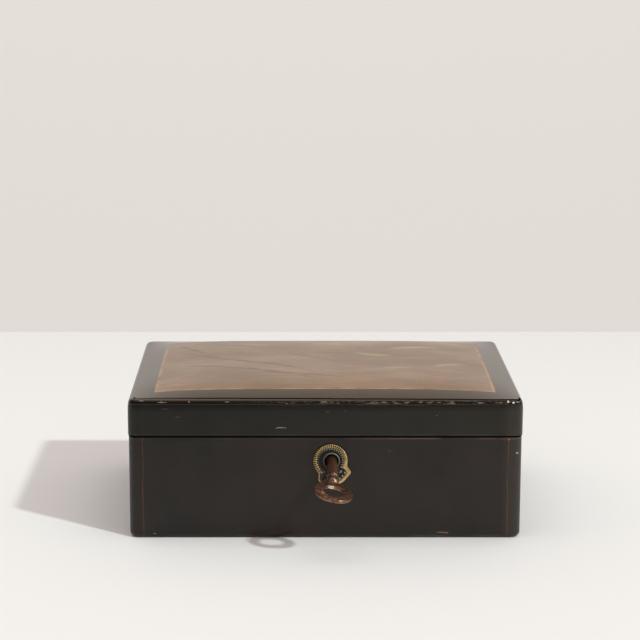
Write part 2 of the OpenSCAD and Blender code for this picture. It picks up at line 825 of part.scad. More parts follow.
module hook_plate() {
    color("#97763a") {
        difference() {
            translate([key_x - hook_plate_l / 2, bolt_y - hook_plate_w / 2, lid_z])
                cube([hook_plate_l, hook_plate_w, plate_t]);
            at_hook_screws() screw_hole(screw_l);
        }
        in_lock(bolt_y - hook_t / 2, bolt_y + hook_t / 2) for (x = hook_xs) translate([x, 0]) {
            translate([beak_l, hook_foot_z]) square([hook_stem_w, lid_z - hook_foot_z + plate_t / 2]);
            translate([0, hook_foot_z]) square([hook_w, beak_h]);
        }
    }
}

module hook_plate_screws() {
    color("#8f6d33") at_hook_screws() wood_screw(screw_l);
}

// Key

// Lays a key drawn up +Z, bow at the top and bit towards -Y, into the lock
module in_keyhole() {
    translate([key_x, key_ref_y, key_ref_z]) rotate([90 + key_droop, 0, 0]) rotate([0, 0, -key_rest])
        children();
}

module bow_section() {
    round_r = 1;
    long = bow_r - bow_hole_r;
    translate([bow_hole_r + long / 2, 0]) plan(long, bow_t, round_r);
}

// Oval bow: two half rings set apart, with a straight piece on each side
module bow() {
    rotate([0, 90, 0]) for (a = [0, 180]) rotate([0, 0, a]) {
        translate([0, bow_stretch / 2, 0]) rotate_extrude(angle = 180) bow_section();
        rotate([90, 0, 0]) linear_extrude(bow_stretch, center = true) bow_section();
    }
}

module key() {
    collar_s = bow_reach - bow_r - collar_l;
    ring_h = 1.6;
    waist_r = shank_r - 0.25;
    color("#6b5242") in_keyhole() {
        translate([0, 0, nose_s]) cylinder(h = shank_tip, r1 = shank_r - shank_tip, r2 = shank_r);
        translate([0, 0, nose_s + shank_tip]) cylinder(h = collar_s - nose_s - shank_tip, r = shank_r);
        translate([0, 0, collar_s]) cylinder(h = ring_h, r = collar_r);
        translate([0, 0, collar_s + ring_h]) cylinder(h = ring_h, r1 = collar_r - 0.3, r2 = waist_r);
        translate([0, 0, collar_s + 2 * ring_h])
            cylinder(h = collar_l - 3 * ring_h, r1 = waist_r, r2 = collar_r);
        translate([0, 0, collar_s + collar_l - ring_h]) cylinder(h = 2 * ring_h, r = collar_r);
        translate([0, 0, bow_reach]) bow();
        difference() {
            translate([-bit_t / 2, -bit_reach, bit_s - bit_l / 2]) cube([bit_t, bit_reach, bit_l]);
            translate([-bit_t, -bit_reach - cut, bit_s - 0.4]) cube([2 * bit_t, 1.3 + cut, 0.8]);
        }
    }
}

front_board();
back_board();
left_end_board();
right_end_board();
bottom_board();
floor_lining();
case_pegs();
bottom_pegs();
lid_front_rail();
lid_back_rail();
lid_left_rail();
lid_right_rail();
lid_top_board();
lid_pegs();
left_hinge_case_leaf();
left_hinge_lid_leaf();
left_hinge_pin();
right_hinge_case_leaf();
right_hinge_lid_leaf();
right_hinge_pin();
hinge_case_screws();
hinge_lid_screws();
escutcheon();
escutcheon_pins();
lock_plate();
lock_rim();
lock_cap();
lock_rivets();
lock_bolt();
lock_spring();
lock_screws();
hook_plate();
hook_plate_screws();
key();
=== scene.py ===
import json
import math

import bmesh
import bpy
from mathutils import Matrix, Vector, noise


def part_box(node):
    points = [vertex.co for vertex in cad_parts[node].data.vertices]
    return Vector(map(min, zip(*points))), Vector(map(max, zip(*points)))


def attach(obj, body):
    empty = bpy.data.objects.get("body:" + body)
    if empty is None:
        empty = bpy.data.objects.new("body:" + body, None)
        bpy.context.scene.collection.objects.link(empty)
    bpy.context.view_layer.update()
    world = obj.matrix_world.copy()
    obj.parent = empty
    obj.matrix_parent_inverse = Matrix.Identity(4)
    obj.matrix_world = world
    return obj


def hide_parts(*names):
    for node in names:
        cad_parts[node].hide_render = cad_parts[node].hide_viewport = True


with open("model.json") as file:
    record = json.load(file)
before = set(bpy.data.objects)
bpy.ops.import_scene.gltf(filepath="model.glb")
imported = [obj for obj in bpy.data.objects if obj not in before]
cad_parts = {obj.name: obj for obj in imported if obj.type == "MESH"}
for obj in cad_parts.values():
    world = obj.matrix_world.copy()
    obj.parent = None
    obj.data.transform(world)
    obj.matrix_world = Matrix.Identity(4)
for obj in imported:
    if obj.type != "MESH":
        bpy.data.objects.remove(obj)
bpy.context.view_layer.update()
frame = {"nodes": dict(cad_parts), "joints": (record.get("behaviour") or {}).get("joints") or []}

mm = 0.001
mergeReach = 0.001 * mm
nodes = frame["nodes"]


# sRGB hex to the linear colour that shaders work in
def linear(hexColour):
    parts = [int(hexColour[i:i + 2], 16) / 255 for i in (1, 3, 5)]
    return tuple(c / 12.92 if c <= 0.04045 else ((c + 0.055) / 1.055) ** 2.4 for c in parts) + (1.0,)


# Fills inputs of a node, each with a node, a socket, a hex colour or a plain value
def feed(tree, node, inputs):
    for socket, value in inputs.items():
        if isinstance(value, bpy.types.Node):
            value = value.outputs[0]
        if isinstance(value, bpy.types.NodeSocket):
            tree.links.new(value, node.inputs[socket])
        else:
            node.inputs[socket].default_value = linear(value) if isinstance(value, str) else value


def addNode(tree, kind, inputs=None, **settings):
    node = tree.nodes.new("ShaderNode" + kind)
    for name, value in settings.items():
        setattr(node, name, value)
    feed(tree, node, inputs or {})
    return node


def newMaterial(name):
    material = bpy.data.materials.new(name)
    material.use_nodes = True
    tree = material.node_tree
    place = addNode(tree, "TexCoord").outputs["Object"]
    return material, tree, tree.nodes["Principled BSDF"], place


def maths(tree, operation, *values):
    return addNode(tree, "Math", dict(enumerate(values)), operation=operation)


def multiply(tree, first, *others):
    for other in others:
        first = maths(tree, "MULTIPLY", first, other)
    return first


def strongest(tree, masks):
    first = masks[0]
    for mask in masks[1:]:
        first = maths(tree, "MAXIMUM", first, mask)
    return first


# The first colour where the mask is 0 and the second where it is 1
def blended(tree, mask, first, second):
    return addNode(tree, "MixRGB", {"Fac": mask, "Color1": first, "Color2": second})


def mixedValue(tree, mask, first, second):
    return addNode(tree, "Mix", {0: mask, 2: first, 3: second}, data_type="FLOAT")


# Goes from low, where the value is at start, to high, where it is at full, and stays between them
def between(tree, value, start=0.0, full=1.0, low=0.0, high=1.0):
    return addNode(tree, "MapRange", {"Value": value, "From Min": start, "From Max": full,
                                      "To Min": low, "To Max": high})


# Noise with waves of about a size in metres
def grain(tree, place, size, detail):
    return addNode(tree, "TexNoise", {"Vector": place, "Scale": 1 / size, "Detail": detail})


# Stage: a table with its far edge behind the box, and a wall beyond it

stage = {
    "tableBack": 552 * mm,
    "tableFront": -620 * mm,
    "wallDistance": 1600 * mm,
    "wallHeight": 2300 * mm,
    "wallFoot": -900 * mm,
    "halfWidth": 6.0,
    "tableColour": "#f0f0ee",
    "tableFarShade": "#e6e5e3",
    "wallColour": "#f0efeb",
    "wallSeen": "#e2ddd7",
    "roughness": 0.9,
    "gloss": 0.1,
}


# One plain sheet, whose colour turns to a second one towards its far side: on the table this is painted
# shade, darker where the light falls off behind the box
def stageSheet(name, corners, colour, farShadeColour):
    bm = bmesh.new()
    bm.faces.new([bm.verts.new(c) for c in corners])
    sheet = bpy.data.objects.new(name, bpy.data.meshes.new(name))
    bm.to_mesh(sheet.data)
    bm.free()
    bpy.context.scene.collection.objects.link(sheet)
    material, tree, shader, place = newMaterial(name + "Paint")
    y = addNode(tree, "SeparateXYZ", {0: place}).outputs[1]
    back = between(tree, y, full=corners[2][1])
    shade = blended(tree, back, colour, farShadeColour)
    feed(tree, shader, {"Base Color": shade, "Roughness": stage["roughness"],
                        "Specular IOR Level": stage["gloss"]})
    sheet.data.materials.append(material)


side = stage["halfWidth"]
near, far = stage["tableFront"], stage["tableBack"]
wall, foot, head = stage["wallDistance"], stage["wallFoot"], stage["wallHeight"]
stageSheet("table", [(-side, near, 0), (side, near, 0), (side, far, 0), (-side, far, 0)],
           stage["tableColour"], stage["tableFarShade"])
stageSheet("wall", [(-side, wall, foot), (side, wall, foot), (side, wall, head), (-side, wall, head)],
           stage["wallColour"], stage["wallColour"])

# Light: an even sky, one soft sun from the front right and a dim soft panel overhead

light = {
    "skyColour": "#fff3f2",
    "skyStrength": 0.63,
    "skyInGloss": 0.10,
    "sunStrength": 1.6,
    "sunColour": (0.92, 1.01, 0.98),
    "sunSoftness": 3,
    "sunHeight": 40.4,
    "sunTurn": 37.7,
    "panelHeight": 1.9,
    "panelSize": (1.6, 0.7),
    "panelPower": 4.5,
}

world = bpy.data.worlds.new("studio")
bpy.context.scene.world = world
world.use_nodes = True
sky = world.node_tree
path = addNode(sky, "LightPath")
toEye = path.outputs["Is Camera Ray"]
strength = mixedValue(sky, path.outputs["Is Glossy Ray"], light["skyStrength"], light["skyInGloss"])
strength = mixedValue(sky, toEye, strength, 1.0)
colour = blended(sky, toEye, light["skyColour"], stage["wallSeen"])
feed(sky, sky.nodes["Background"], {"Color": colour, "Strength": strength})

sunHeight = math.radians(light["sunHeight"])
sunTurn = math.radians(light["sunTurn"])
towardsSun = Vector((math.cos(sunHeight) * math.cos(sunTurn), -math.cos(sunHeight) * math.sin(sunTurn),
                     math.sin(sunHeight)))
sun = bpy.data.lights.new("sun", "SUN")
sun.energy = light["sunStrength"]
sun.color = light["sunColour"]
sun.angle = math.radians(light["sunSoftness"])
sunObject = bpy.data.objects.new("sun", sun)
sunObject.rotation_euler = towardsSun.to_track_quat("Z", "Y").to_euler()
bpy.context.scene.collection.objects.link(sunObject)

panel = bpy.data.lights.new("panel", "AREA")
panel.shape = "RECTANGLE"
panel.size, panel.size_y = light["panelSize"]
panel.energy = light["panelPower"]
panelObject = bpy.data.objects.new("panel", panel)
panelObject.location = (0, 0, light["panelHeight"])
bpy.context.scene.collection.objects.link(panelObject)

# Camera: a long lens in front of the box and above it, tilted down at it

camera = {
    "lens": 113.3,
    "sensor": 36,
    "place": (-23.6 * mm, -1320.1 * mm, 392.6 * mm),
    "tilt": 78.49,
    "shift": 0.05,
}

cameraObject = bpy.data.objects.new("camera", bpy.data.cameras.new("camera"))
cameraObject.data.lens = camera["lens"]
cameraObject.data.sensor_width = camera["sensor"]
cameraObject.data.shift_x = camera["shift"]
cameraObject.location = camera["place"]
cameraObject.rotation_euler = (math.radians(camera["tilt"]), 0, 0)
bpy.context.scene.collection.objects.link(cameraObject)
bpy.context.scene.camera = cameraObject
bpy.context.scene.view_settings.view_transform = "Standard"
print("stage, lights and camera ready")

# Faces, joints and levels of the boards as built, on the right and in front

endLow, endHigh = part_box("right_end_board")
railLow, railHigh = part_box("lid_right_rail")
topLow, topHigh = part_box("lid_top_board")
keyholeLow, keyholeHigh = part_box("escutcheon")
frontFace, lidFront = endLow.y, railLow.y
caseHalfWidth, lidHalfWidth = endHigh.x, railHigh.x
caseJoint, lidJoint = endLow.x, railLow.x
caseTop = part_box("front_board")[1].z
lidFoot, lidJointHeight = railLow.z, railHigh.z


# Mask that is 1 within a core about a level and falls to 0 at a distance from it
def band(tree, value, level, reach, core=0.0):
    off = maths(tree, "SUBTRACT", value, level)
    far = maths(tree, "ABSOLUTE", off)
    return between(tree, far, reach, core)


seedWay = (1, 0.7, 0.3)


# Cloudy mask: size of the clouds in metres, and the noise levels where it starts and is full
def clouds(tree, place, size, start, full, stretch=(1, 1, 1), detail=3, seed=0):
    moved = addNode(tree, "Mapping", {"Vector": place, "Location": [seed * share for share in seedWay],
                                      "Scale": [1 / s for s in stretch]})
    return between(tree, grain(tree, moved, size, detail), start, full)


chipEdge = {
    "grain": 0.9 * mm,
    "depth": 3 * mm,
    "starts": 1.55,
    "full": 1.4,
}


# Small chips and scratches, and small painted highlights and painted shade: each is a place, a half length,
# a half height and a turn
def chipsAndPaintedLight(tree, place, marks):
    ragged = grain(tree, place, chipEdge["grain"], 2)
    masks = []
    for x, y, z, long, high, turn in marks:
        local = addNode(tree, "Mapping", {
            "Vector": place, "Location": (x, y, z), "Rotation": (0, math.radians(turn), 0),
            "Scale": (long, chipEdge["depth"], high)}, vector_type="TEXTURE")
        far = addNode(tree, "VectorMath", {0: local}, operation="LENGTH").outputs["Value"]
        rough = maths(tree, "ADD", far, ragged)
        masks.append(between(tree, rough, chipEdge["starts"], chipEdge["full"]))
    return strongest(tree, masks)


# Sizes, reaches and tints that the lacquer of the case and of the lid share
film = {
    "driftSize": 45 * mm,
    "brushSize": 1.6 * mm,
    "brushStretch": (26, 26, 1),
    "brushStrength": 0.35,
    # reach and tint of the painted light towards the right, and of the painted reflection on the right end
    # strip
    "lightToRight": (-110 * mm, 110 * mm),
    "lightToRightTint": "#2b2722",
    "rightEndLightTint": "#38332c",
    "endReach": (-4 * mm, mm),
    "endStrength": 0.5,
    "rubSize": 7 * mm,
    "rubbed": (-90 * mm, 60 * mm),
    "wobbleSize": 14 * mm,
    "wobble": 0.9 * mm,
    "crackHalf": 0.55 * mm,
    "crackLift": 0.2 * mm,
    "crackDepth": 2 * mm,
    "crackPatch": 12 * mm,
    "speckSize": 4 * mm,
    "speck": (0.09, 0.05),
    "dullSize": 22 * mm,
    # reach and tint of the painted shade along the seam
    "seamShade": (0.55 * mm, 0.15 * mm),
    "seamShadeTint": "#040302",
    "rippleSize": 9 * mm,
    "relief": 0.12 * mm,
}


# Black urushi over hinoki, brushed on in thin coats and a century old: a deep brown-black film
# with a soft gloss, faint brush lines, dust specks and rubbed edges where the red ground shows;
# painted light makes the film lighter towards the right, a painted reflection lightens the right
# end strip, and a painted black shade runs along the seam between lid and case
def urushi(name, finish):
    material, tree, shader, place = newMaterial(name)
    x, y, z = addNode(tree, "SeparateXYZ", {0: place}).outputs
    drift = clouds(tree, place, film["driftSize"], 0.35, 0.7, seed=finish["seed"])
    warm = blended(tree, drift, finish["deep"], finish["warm"])
    lines = clouds(tree, place, film["brushSize"], 0.4, 0.75, stretch=film["brushStretch"],
                   seed=finish["seed"])
    brushed = blended(tree, multiply(tree, lines, film["brushStrength"]), warm, finish["stroke"])
    # painted light: a lighter tint grows from left to right, where the light comes from
    lightToRight = between(tree, x, *film["lightToRight"])
    # painted reflection: a lighter tint on the right end strip, past the joint
    rightEndLight = between(tree, x, caseJoint + film["endReach"][0], caseJoint + film["endReach"][1])
    colour = blended(tree, multiply(tree, lightToRight, finish["fade"]), brushed, film["lightToRightTint"])
    colour = blended(tree, multiply(tree, rightEndLight, film["endStrength"]), colour, film["rightEndLightTint"])
    for level, reach, low, high, left, tint in finish["rubs"]:
        line = band(tree, z, level, reach)
        patches = clouds(tree, place, film["rubSize"], low, high, stretch=(3, 3, 1), detail=5,
                         seed=level * 100)
        often = between(tree, x, *film["rubbed"], left)
        rub = multiply(tree, line, patches, often)
        colour = blended(tree, rub, colour, tint)
    wobble = grain(tree, place, film["wobbleSize"], 3)
    shift = between(tree, wobble, low=-film["wobble"], high=film["wobble"])
    width = maths(tree, "ABSOLUTE", x)
    width = maths(tree, "ADD", width, shift)
    line = band(tree, width, finish["crack"], film["crackHalf"])
    depth = maths(tree, "ABSOLUTE", y)
    outside = band(tree, depth, -frontFace + film["crackLift"], film["crackDepth"])
    patches = clouds(tree, place, film["crackPatch"], 0.25, 0.5, seed=3)
    stronger = between(tree, lightToRight, low=0.75, high=1.0)
    crack = multiply(tree, line, outside, patches, stronger, finish["crackStrength"])
    colour = blended(tree, crack, colour, finish["crackTint"])
    for tint, marks in finish["chipsAndPaintedLight"]:
        mask = chipsAndPaintedLight(tree, place, marks)
        colour = blended(tree, mask, colour, tint)
    specks = addNode(tree, "TexVoronoi", {"Vector": place, "Scale": 1 / film["speckSize"],
                                          "Randomness": 1.0})
    dust = between(tree, specks.outputs["Distance"], *film["speck"])
    dull = clouds(tree, place, film["dullSize"], 0.3, 0.75, seed=9)
    rough = between(tree, dull, low=finish["gloss"] - 0.05, high=finish["gloss"] + 0.08)
    rough = maths(tree, "ADD", rough, multiply(tree, dust, 0.2))
    # painted shade: the film turns black, rough and without gloss within half a millimetre of the seam
    # between lid and case
    seamShade = band(tree, z, finish["seam"], *film["seamShade"])
    colour = blended(tree, seamShade, colour, film["seamShadeTint"])
    rough = maths(tree, "MULTIPLY_ADD", seamShade, 0.5, rough)
    shine = between(tree, seamShade, low=0.5, high=0.02)
    ripple = grain(tree, place, film["rippleSize"], 2)
    fine = maths(tree, "ADD", multiply(tree, lines, 0.12), ripple)
    raised = maths(tree, "ADD", fine, multiply(tree, dust, 0.25))
    bump = addNode(tree, "Bump", {"Height": raised, "Strength": 0.25, "Distance": film["relief"]})
    feed(tree, shader, {"Base Color": colour, "Roughness": rough, "Specular IOR Level": shine,
                        "IOR": finish["ior"], "Specular Tint": finish["sheen"], "Normal": bump})
    return material


caseFinish = {
    "deep": "#0d0e0a",
    "warm": "#21150f",
    "stroke": "#20170f",
    "gloss": 0.33,
    "ior": 1.44,
    "sheen": "#fbf7f7",
    # strength of the painted light towards the right
    "fade": 0.15,
    "seam": caseTop,
    "seed": 1.7,
    "crack": caseJoint,
    "crackStrength": 1.0,
    "crackTint": "#5c3420",
    "rubs": [
        (caseTop - 1.0 * mm, 0.8 * mm, 0.42, 0.62, 0.0, "#59402f"),
        (1.2 * mm, 1.4 * mm, 0.45, 0.7, 0.8, "#4a382b"),
    ],
    "chipsAndPaintedLight": [
        ("#8a6f54", [(115.9 * mm, frontFace, 64.9 * mm, 0.5 * mm, 0.5 * mm, 0),
                     (-108.5 * mm, frontFace, 3.0 * mm, 0.9 * mm, 0.3 * mm, 20)]),
        ("#77513c", [(74.9 * mm, frontFace, 3.8 * mm, 3.8 * mm, 0.45 * mm, 2),
                     (77.8 * mm, frontFace, 3.3 * mm, 1.2 * mm, 0.3 * mm, -25)]),
        # painted highlight: the first mark stands for the lit side of a small dent on the right corner
        ("#8c887f", [(121.4 * mm, frontFace + mm, 56 * mm, 0.7 * mm, 0.8 * mm, 0),
                     (40.6 * mm, frontFace, 57.5 * mm, 0.7 * mm, 0.08 * mm, 30)]),
        # painted shade: the first mark stands for the shade in a small dent on the left corner
        ("#080605", [(-122.9 * mm, frontFace + 1.5 * mm, 56 * mm, 0.8 * mm, 1.0 * mm, 0),
                     (-97 * mm, frontFace, 64.3 * mm, 8.5 * mm, 0.35 * mm, 1),
                     (-89.5 * mm, frontFace, 63.6 * mm, 2.6 * mm, 0.3 * mm, 25)]),
    ],
}

lidFinish = {
    "deep": "#0f0e0b",
    "warm": "#15120e",
    "stroke": "#1d1a14",
    "gloss": 0.33,
    "ior": 1.415,
    "sheen": "#f3f3eb",
    # strength of the painted light towards the right
    "fade": 0.5,
    "seam": lidFoot,
    "seed": 4.1,
    "crack": lidJoint,
    "crackStrength": 0.25,
    "crackTint": "#2c2822",
    "rubs": [
        (lidJointHeight, 0.5 * mm, 0.55, 0.68, 0.1, "#5c5446"),
        (lidFoot + 1.0 * mm, 0.6 * mm, 0.5, 0.7, 0.1, "#3d322a"),
    ],
    "chipsAndPaintedLight": [
        ("#aea79c", [(-27.6 * mm, lidFront, 72.7 * mm, 2.6 * mm, 0.16 * mm, 3),
                     (-30.4 * mm, lidFront, 72.5 * mm, 0.9 * mm, 0.12 * mm, -8)]),
        ("#57534b", [(-93 * mm, lidFront, 79.6 * mm, 1.8 * mm, 0.12 * mm, 0),
                     (1.5 * mm, lidFront, 83.2 * mm, 1.1 * mm, 0.2 * mm, 10),
                     (12.4 * mm, lidFront, 83.6 * mm, 0.7 * mm, 0.16 * mm, 0),
                     (70 * mm, lidFront, 80.6 * mm, 0.6 * mm, 0.25 * mm, 0),
                     (-101 * mm, lidFront, 84.8 * mm, 2.2 * mm, 0.14 * mm, 0)]),
    ],
}

caseLacquer = urushi("blackUrushiCase", caseFinish)
lidLacquer = urushi("blackUrushiLid", lidFinish)
print("lacquer finishes ready")


# Turns a bmesh into a finished piece that rides on a body and stands for CAD nodes
def finishPiece(name, bm, material, body, replaced, smoothUnder=35):
    mesh = bpy.data.meshes.new(name)
    bm.to_mesh(mesh)
    bm.free()
    mesh.shade_smooth()
    mesh.set_sharp_from_angle(angle=math.radians(smoothUnder))
    mesh.materials.append(material)
    piece = bpy.data.objects.new(name, mesh)
    bpy.context.scene.collection.objects.link(piece)
    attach(piece, body)
    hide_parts(*replaced)
    return piece


# Way out of a box with rounded upright corners, and how far a point lies past its outline
def outwards(point, halfX, halfY, radius):
    core = Vector((max(radius - halfX, min(point.x, halfX - radius)),
                   max(radius - halfY, min(point.y, halfY - radius))))
    off = point.xy - core
    return off.normalized(), off.length - radius


# Case boards and lid rails, as built but with the edges along the seam and the joints rubbed round

boards = {
    "cornerRadius": 6 * mm,
    "seamRound": 0.55 * mm,
    "lidRound": 0.45 * mm,
    "rollHeight": 4.5 * mm,
    "rollDepth": 0.32 * mm,
    "rollSteps": 6,
    "reach": 0.05 * mm,
    "flatAngle": 0.5,
    "roundSteps": 4,
}


def seamEdges(bm, level, halfX, halfY):
    found = []
    for edge in bm.edges:
        ends = [v.co for v in edge.verts]
        flat = all(abs(co.z - level) < boards["reach"] for co in ends)
        outer = all(abs(outwards(co, halfX, halfY, boards["cornerRadius"])[1]) < boards["reach"]
                    for co in ends)
        if flat and outer:
            found.append(edge)
    return found


def boardPiece(node, material, body, level, halfY, edgeRound, roll):
    halfX = lidHalfWidth if body == "lid" else caseHalfWidth
    bm = bmesh.new()
    bm.from_mesh(nodes[node].data)
    bmesh.ops.remove_doubles(bm, verts=bm.verts, dist=mergeReach)
    bmesh.ops.dissolve_limit(bm, angle_limit=math.radians(boards["flatAngle"]), verts=bm.verts,
                             edges=bm.edges)
    if roll:
        low = lidJointHeight - boards["rollHeight"]
        for step in range(boards["rollSteps"]):
            share = step / boards["rollSteps"]
            bmesh.ops.bisect_plane(bm, geom=bm.verts[:] + bm.edges[:] + bm.faces[:],
                                   plane_co=(0, 0, low + share * boards["rollHeight"]), plane_no=(0, 0, 1))
        for vert in bm.verts:
            way, past = outwards(vert.co, halfX, halfY, boards["cornerRadius"])
            if vert.co.z > low and abs(past) < boards["reach"]:
                share = (vert.co.z - low) / boards["rollHeight"]
                vert.co.xy -= way * boards["rollDepth"] * share ** 2
    bmesh.ops.bevel(bm, geom=seamEdges(bm, level, halfX, halfY), offset=edgeRound, offset_type="OFFSET",
                    segments=boards["roundSteps"], profile=0.5, material=-1, affect="EDGES",
                    clamp_overlap=True)
    piece = finishPiece(node + "_lacquered", bm, material, body, [node])
    weighted = piece.modifiers.new("evenShade", "WEIGHTED_NORMAL")
    weighted.keep_sharp = True
    return piece


for node in ("front_board", "back_board", "left_end_board", "right_end_board"):
    boardPiece(node, caseLacquer, "case", caseTop, -frontFace, boards["seamRound"], False)
for node in ("lid_front_rail", "lid_back_rail", "lid_left_rail", "lid_right_rail"):
    boardPiece(node, lidLacquer, "lid", lidFoot, -lidFront, boards["lidRound"], True)
for node, lacquer in (("bottom_board", caseLacquer), ("bottom_pegs", caseLacquer),
                      ("case_pegs", caseLacquer), ("lid_pegs", lidLacquer)):
    for slot in nodes[node].material_slots:
        slot.material = lacquer
print("boards and rails ready")


# Painted marks: each is a place, a half length, a half width, a turn and a bend to one side
def strokes(tree, place, marks, softness):
    masks = []
    for x, y, long, wide, turn, bend in marks:
        local = addNode(tree, "Mapping", {
            "Vector": place, "Location": (x, y, 0), "Rotation": (0, 0, math.radians(turn)),
            "Scale": (long, wide, 1)}, vector_type="TEXTURE")
        along, across, _ = addNode(tree, "SeparateXYZ", {0: local}).outputs
        square = multiply(tree, along, along)
        bent = maths(tree, "MULTIPLY_ADD", square, bend * long / wide, across)
        shape = maths(tree, "MULTIPLY_ADD", bent, bent, square)
        masks.append(between(tree, shape, 1 + softness, 1 - softness))
    return strongest(tree, masks)


topPaint = {
    "lineInset": 16.3 * mm,
    "lineWidth": 2.0 * mm,
    "border": "#3d2e1d",
    "edge": "#100d0a",
    "ground": "#846449",
    "streak": "#a08260",
    "shade": "#5f4533",
    "line": "#9f7d55",
    # inset of the painted shade line along the front of the top
    "creaseShade": 4.2 * mm,
    "borderGloss": 0.14,
    "insideGloss": 0.3,
    "groundGloss": 0.27,
    "ior": 1.5,
    "softness": 0.25 * mm,
    "upper": (2.2 * mm, 2.9 * mm),
    "streakSize": 1.5 * mm,
    "streakStretch": (26, 2.2, 1),
    "driftSize": 38 * mm,
    # slant, half widths, tint and reach of the painted shade line along the front of the top
    "aslant": (-0.5 * mm, 1.3 * mm),
    "creaseShadeHalf": (0.9 * mm, 0.45 * mm),
    "creaseShadeTint": "#050403",
    "creaseShadeDepth": (8 * mm, 7 * mm),
    "lipHeight": 1.5 * mm,
    "lipHalf": (1.3 * mm, 0.3 * mm),
    "lipTint": "#93866f",
    "rippleSize": 16 * mm,
    "relief": 0.12 * mm,
    "sheen": "#fffaf0",
    # place, half length, half width, turn, bend
    "painting": [
        ("#4d2b28", 0.75, [(-52, -28, 52, 1.8, -22, 0.10), (-40, -12, 44, 1.5, -30, 0.14),
                           (-70, 4, 38, 1.4, -38, -0.12), (-20, -42, 34, 1.3, -10, 0.10),
                           (-88, 34, 26, 1.3, -58, -0.1), (-8, 6, 30, 1.2, -35, 0.16),
                           (-58, 44, 22, 2.4, -12, 0.2), (-30, 56, 16, 2.0, 8, -0.2)]),
        ("#a79c68", 0.62, [(62, 38, 17, 3.4, 14, 0.12), (34, 12, 13, 2.8, -18, -0.1),
                          (84, -12, 12, 2.6, 30, 0.1), (6, 50, 12, 2.4, -6, 0.12),
                          (92, 58, 10, 2.4, -20, 0.1), (48, -26, 9, 2.0, 8, 0.15)]),
        ("#a5644f", 0.5, [(52, -40, 5.0, 2.8, 10, 0), (18, -22, 4.4, 2.4, 0, 0), (98, 22, 4.2, 2.6, 0, 0),
                           (-6, 24, 4.0, 2.4, 20, 0), (74, -58, 5.0, 2.6, -10, 0),
                           (-96, -44, 4.2, 2.4, 0, 0), (26, -58, 4.6, 2.4, 8, 0), (-30, 48, 4.2, 2.4, 0, 0),
                           (58, 4, 3.6, 2.2, 0, 0),
                           (-62, -6, 4.4, 2.0, -30, 0), (-36, -30, 5.0, 1.8, -24, 0),
                           (-78, 22, 4.0, 2.0, -50, 0)]),
    ],
    "chipsAndPaintedLight": [
        ("#9a7447", [(-103.4 * mm, lidFront, 89.2 * mm, 0.3 * mm, 0.8 * mm, 0),
                     (-85.9 * mm, lidFront, 89.3 * mm, 0.45 * mm, 0.6 * mm, 0),
                     (-24.5 * mm, lidFront, 88.3 * mm, 0.4 * mm, 0.4 * mm, 0)]),
        # painted highlights: two white glints at the front right corner of the roll
        ("#d8d2c6", [(115.0 * mm, lidFront, 89.4 * mm, 0.6 * mm, 0.6 * mm, 0),
                     (118.2 * mm, lidFront, 88.8 * mm, 0.9 * mm, 0.5 * mm, 0)]),
        ("#8d8678", [(-115.9 * mm, lidFront, 89.8 * mm, 1.6 * mm, 0.2 * mm, 0),
                     (-103 * mm, lidFront, 88.9 * mm, 3.0 * mm, 0.15 * mm, 0),
                     (-62 * mm, lidFront, 89.2 * mm, 1.6 * mm, 0.2 * mm, 0),
                     (-1 * mm, lidFront, 89.2 * mm, 2.2 * mm, 0.2 * mm, 0)]),
        ("#4a2412", [(109.5 * mm, 72 * mm, 93 * mm, 2.2 * mm, 5 * mm, 0)]),
    ],
}
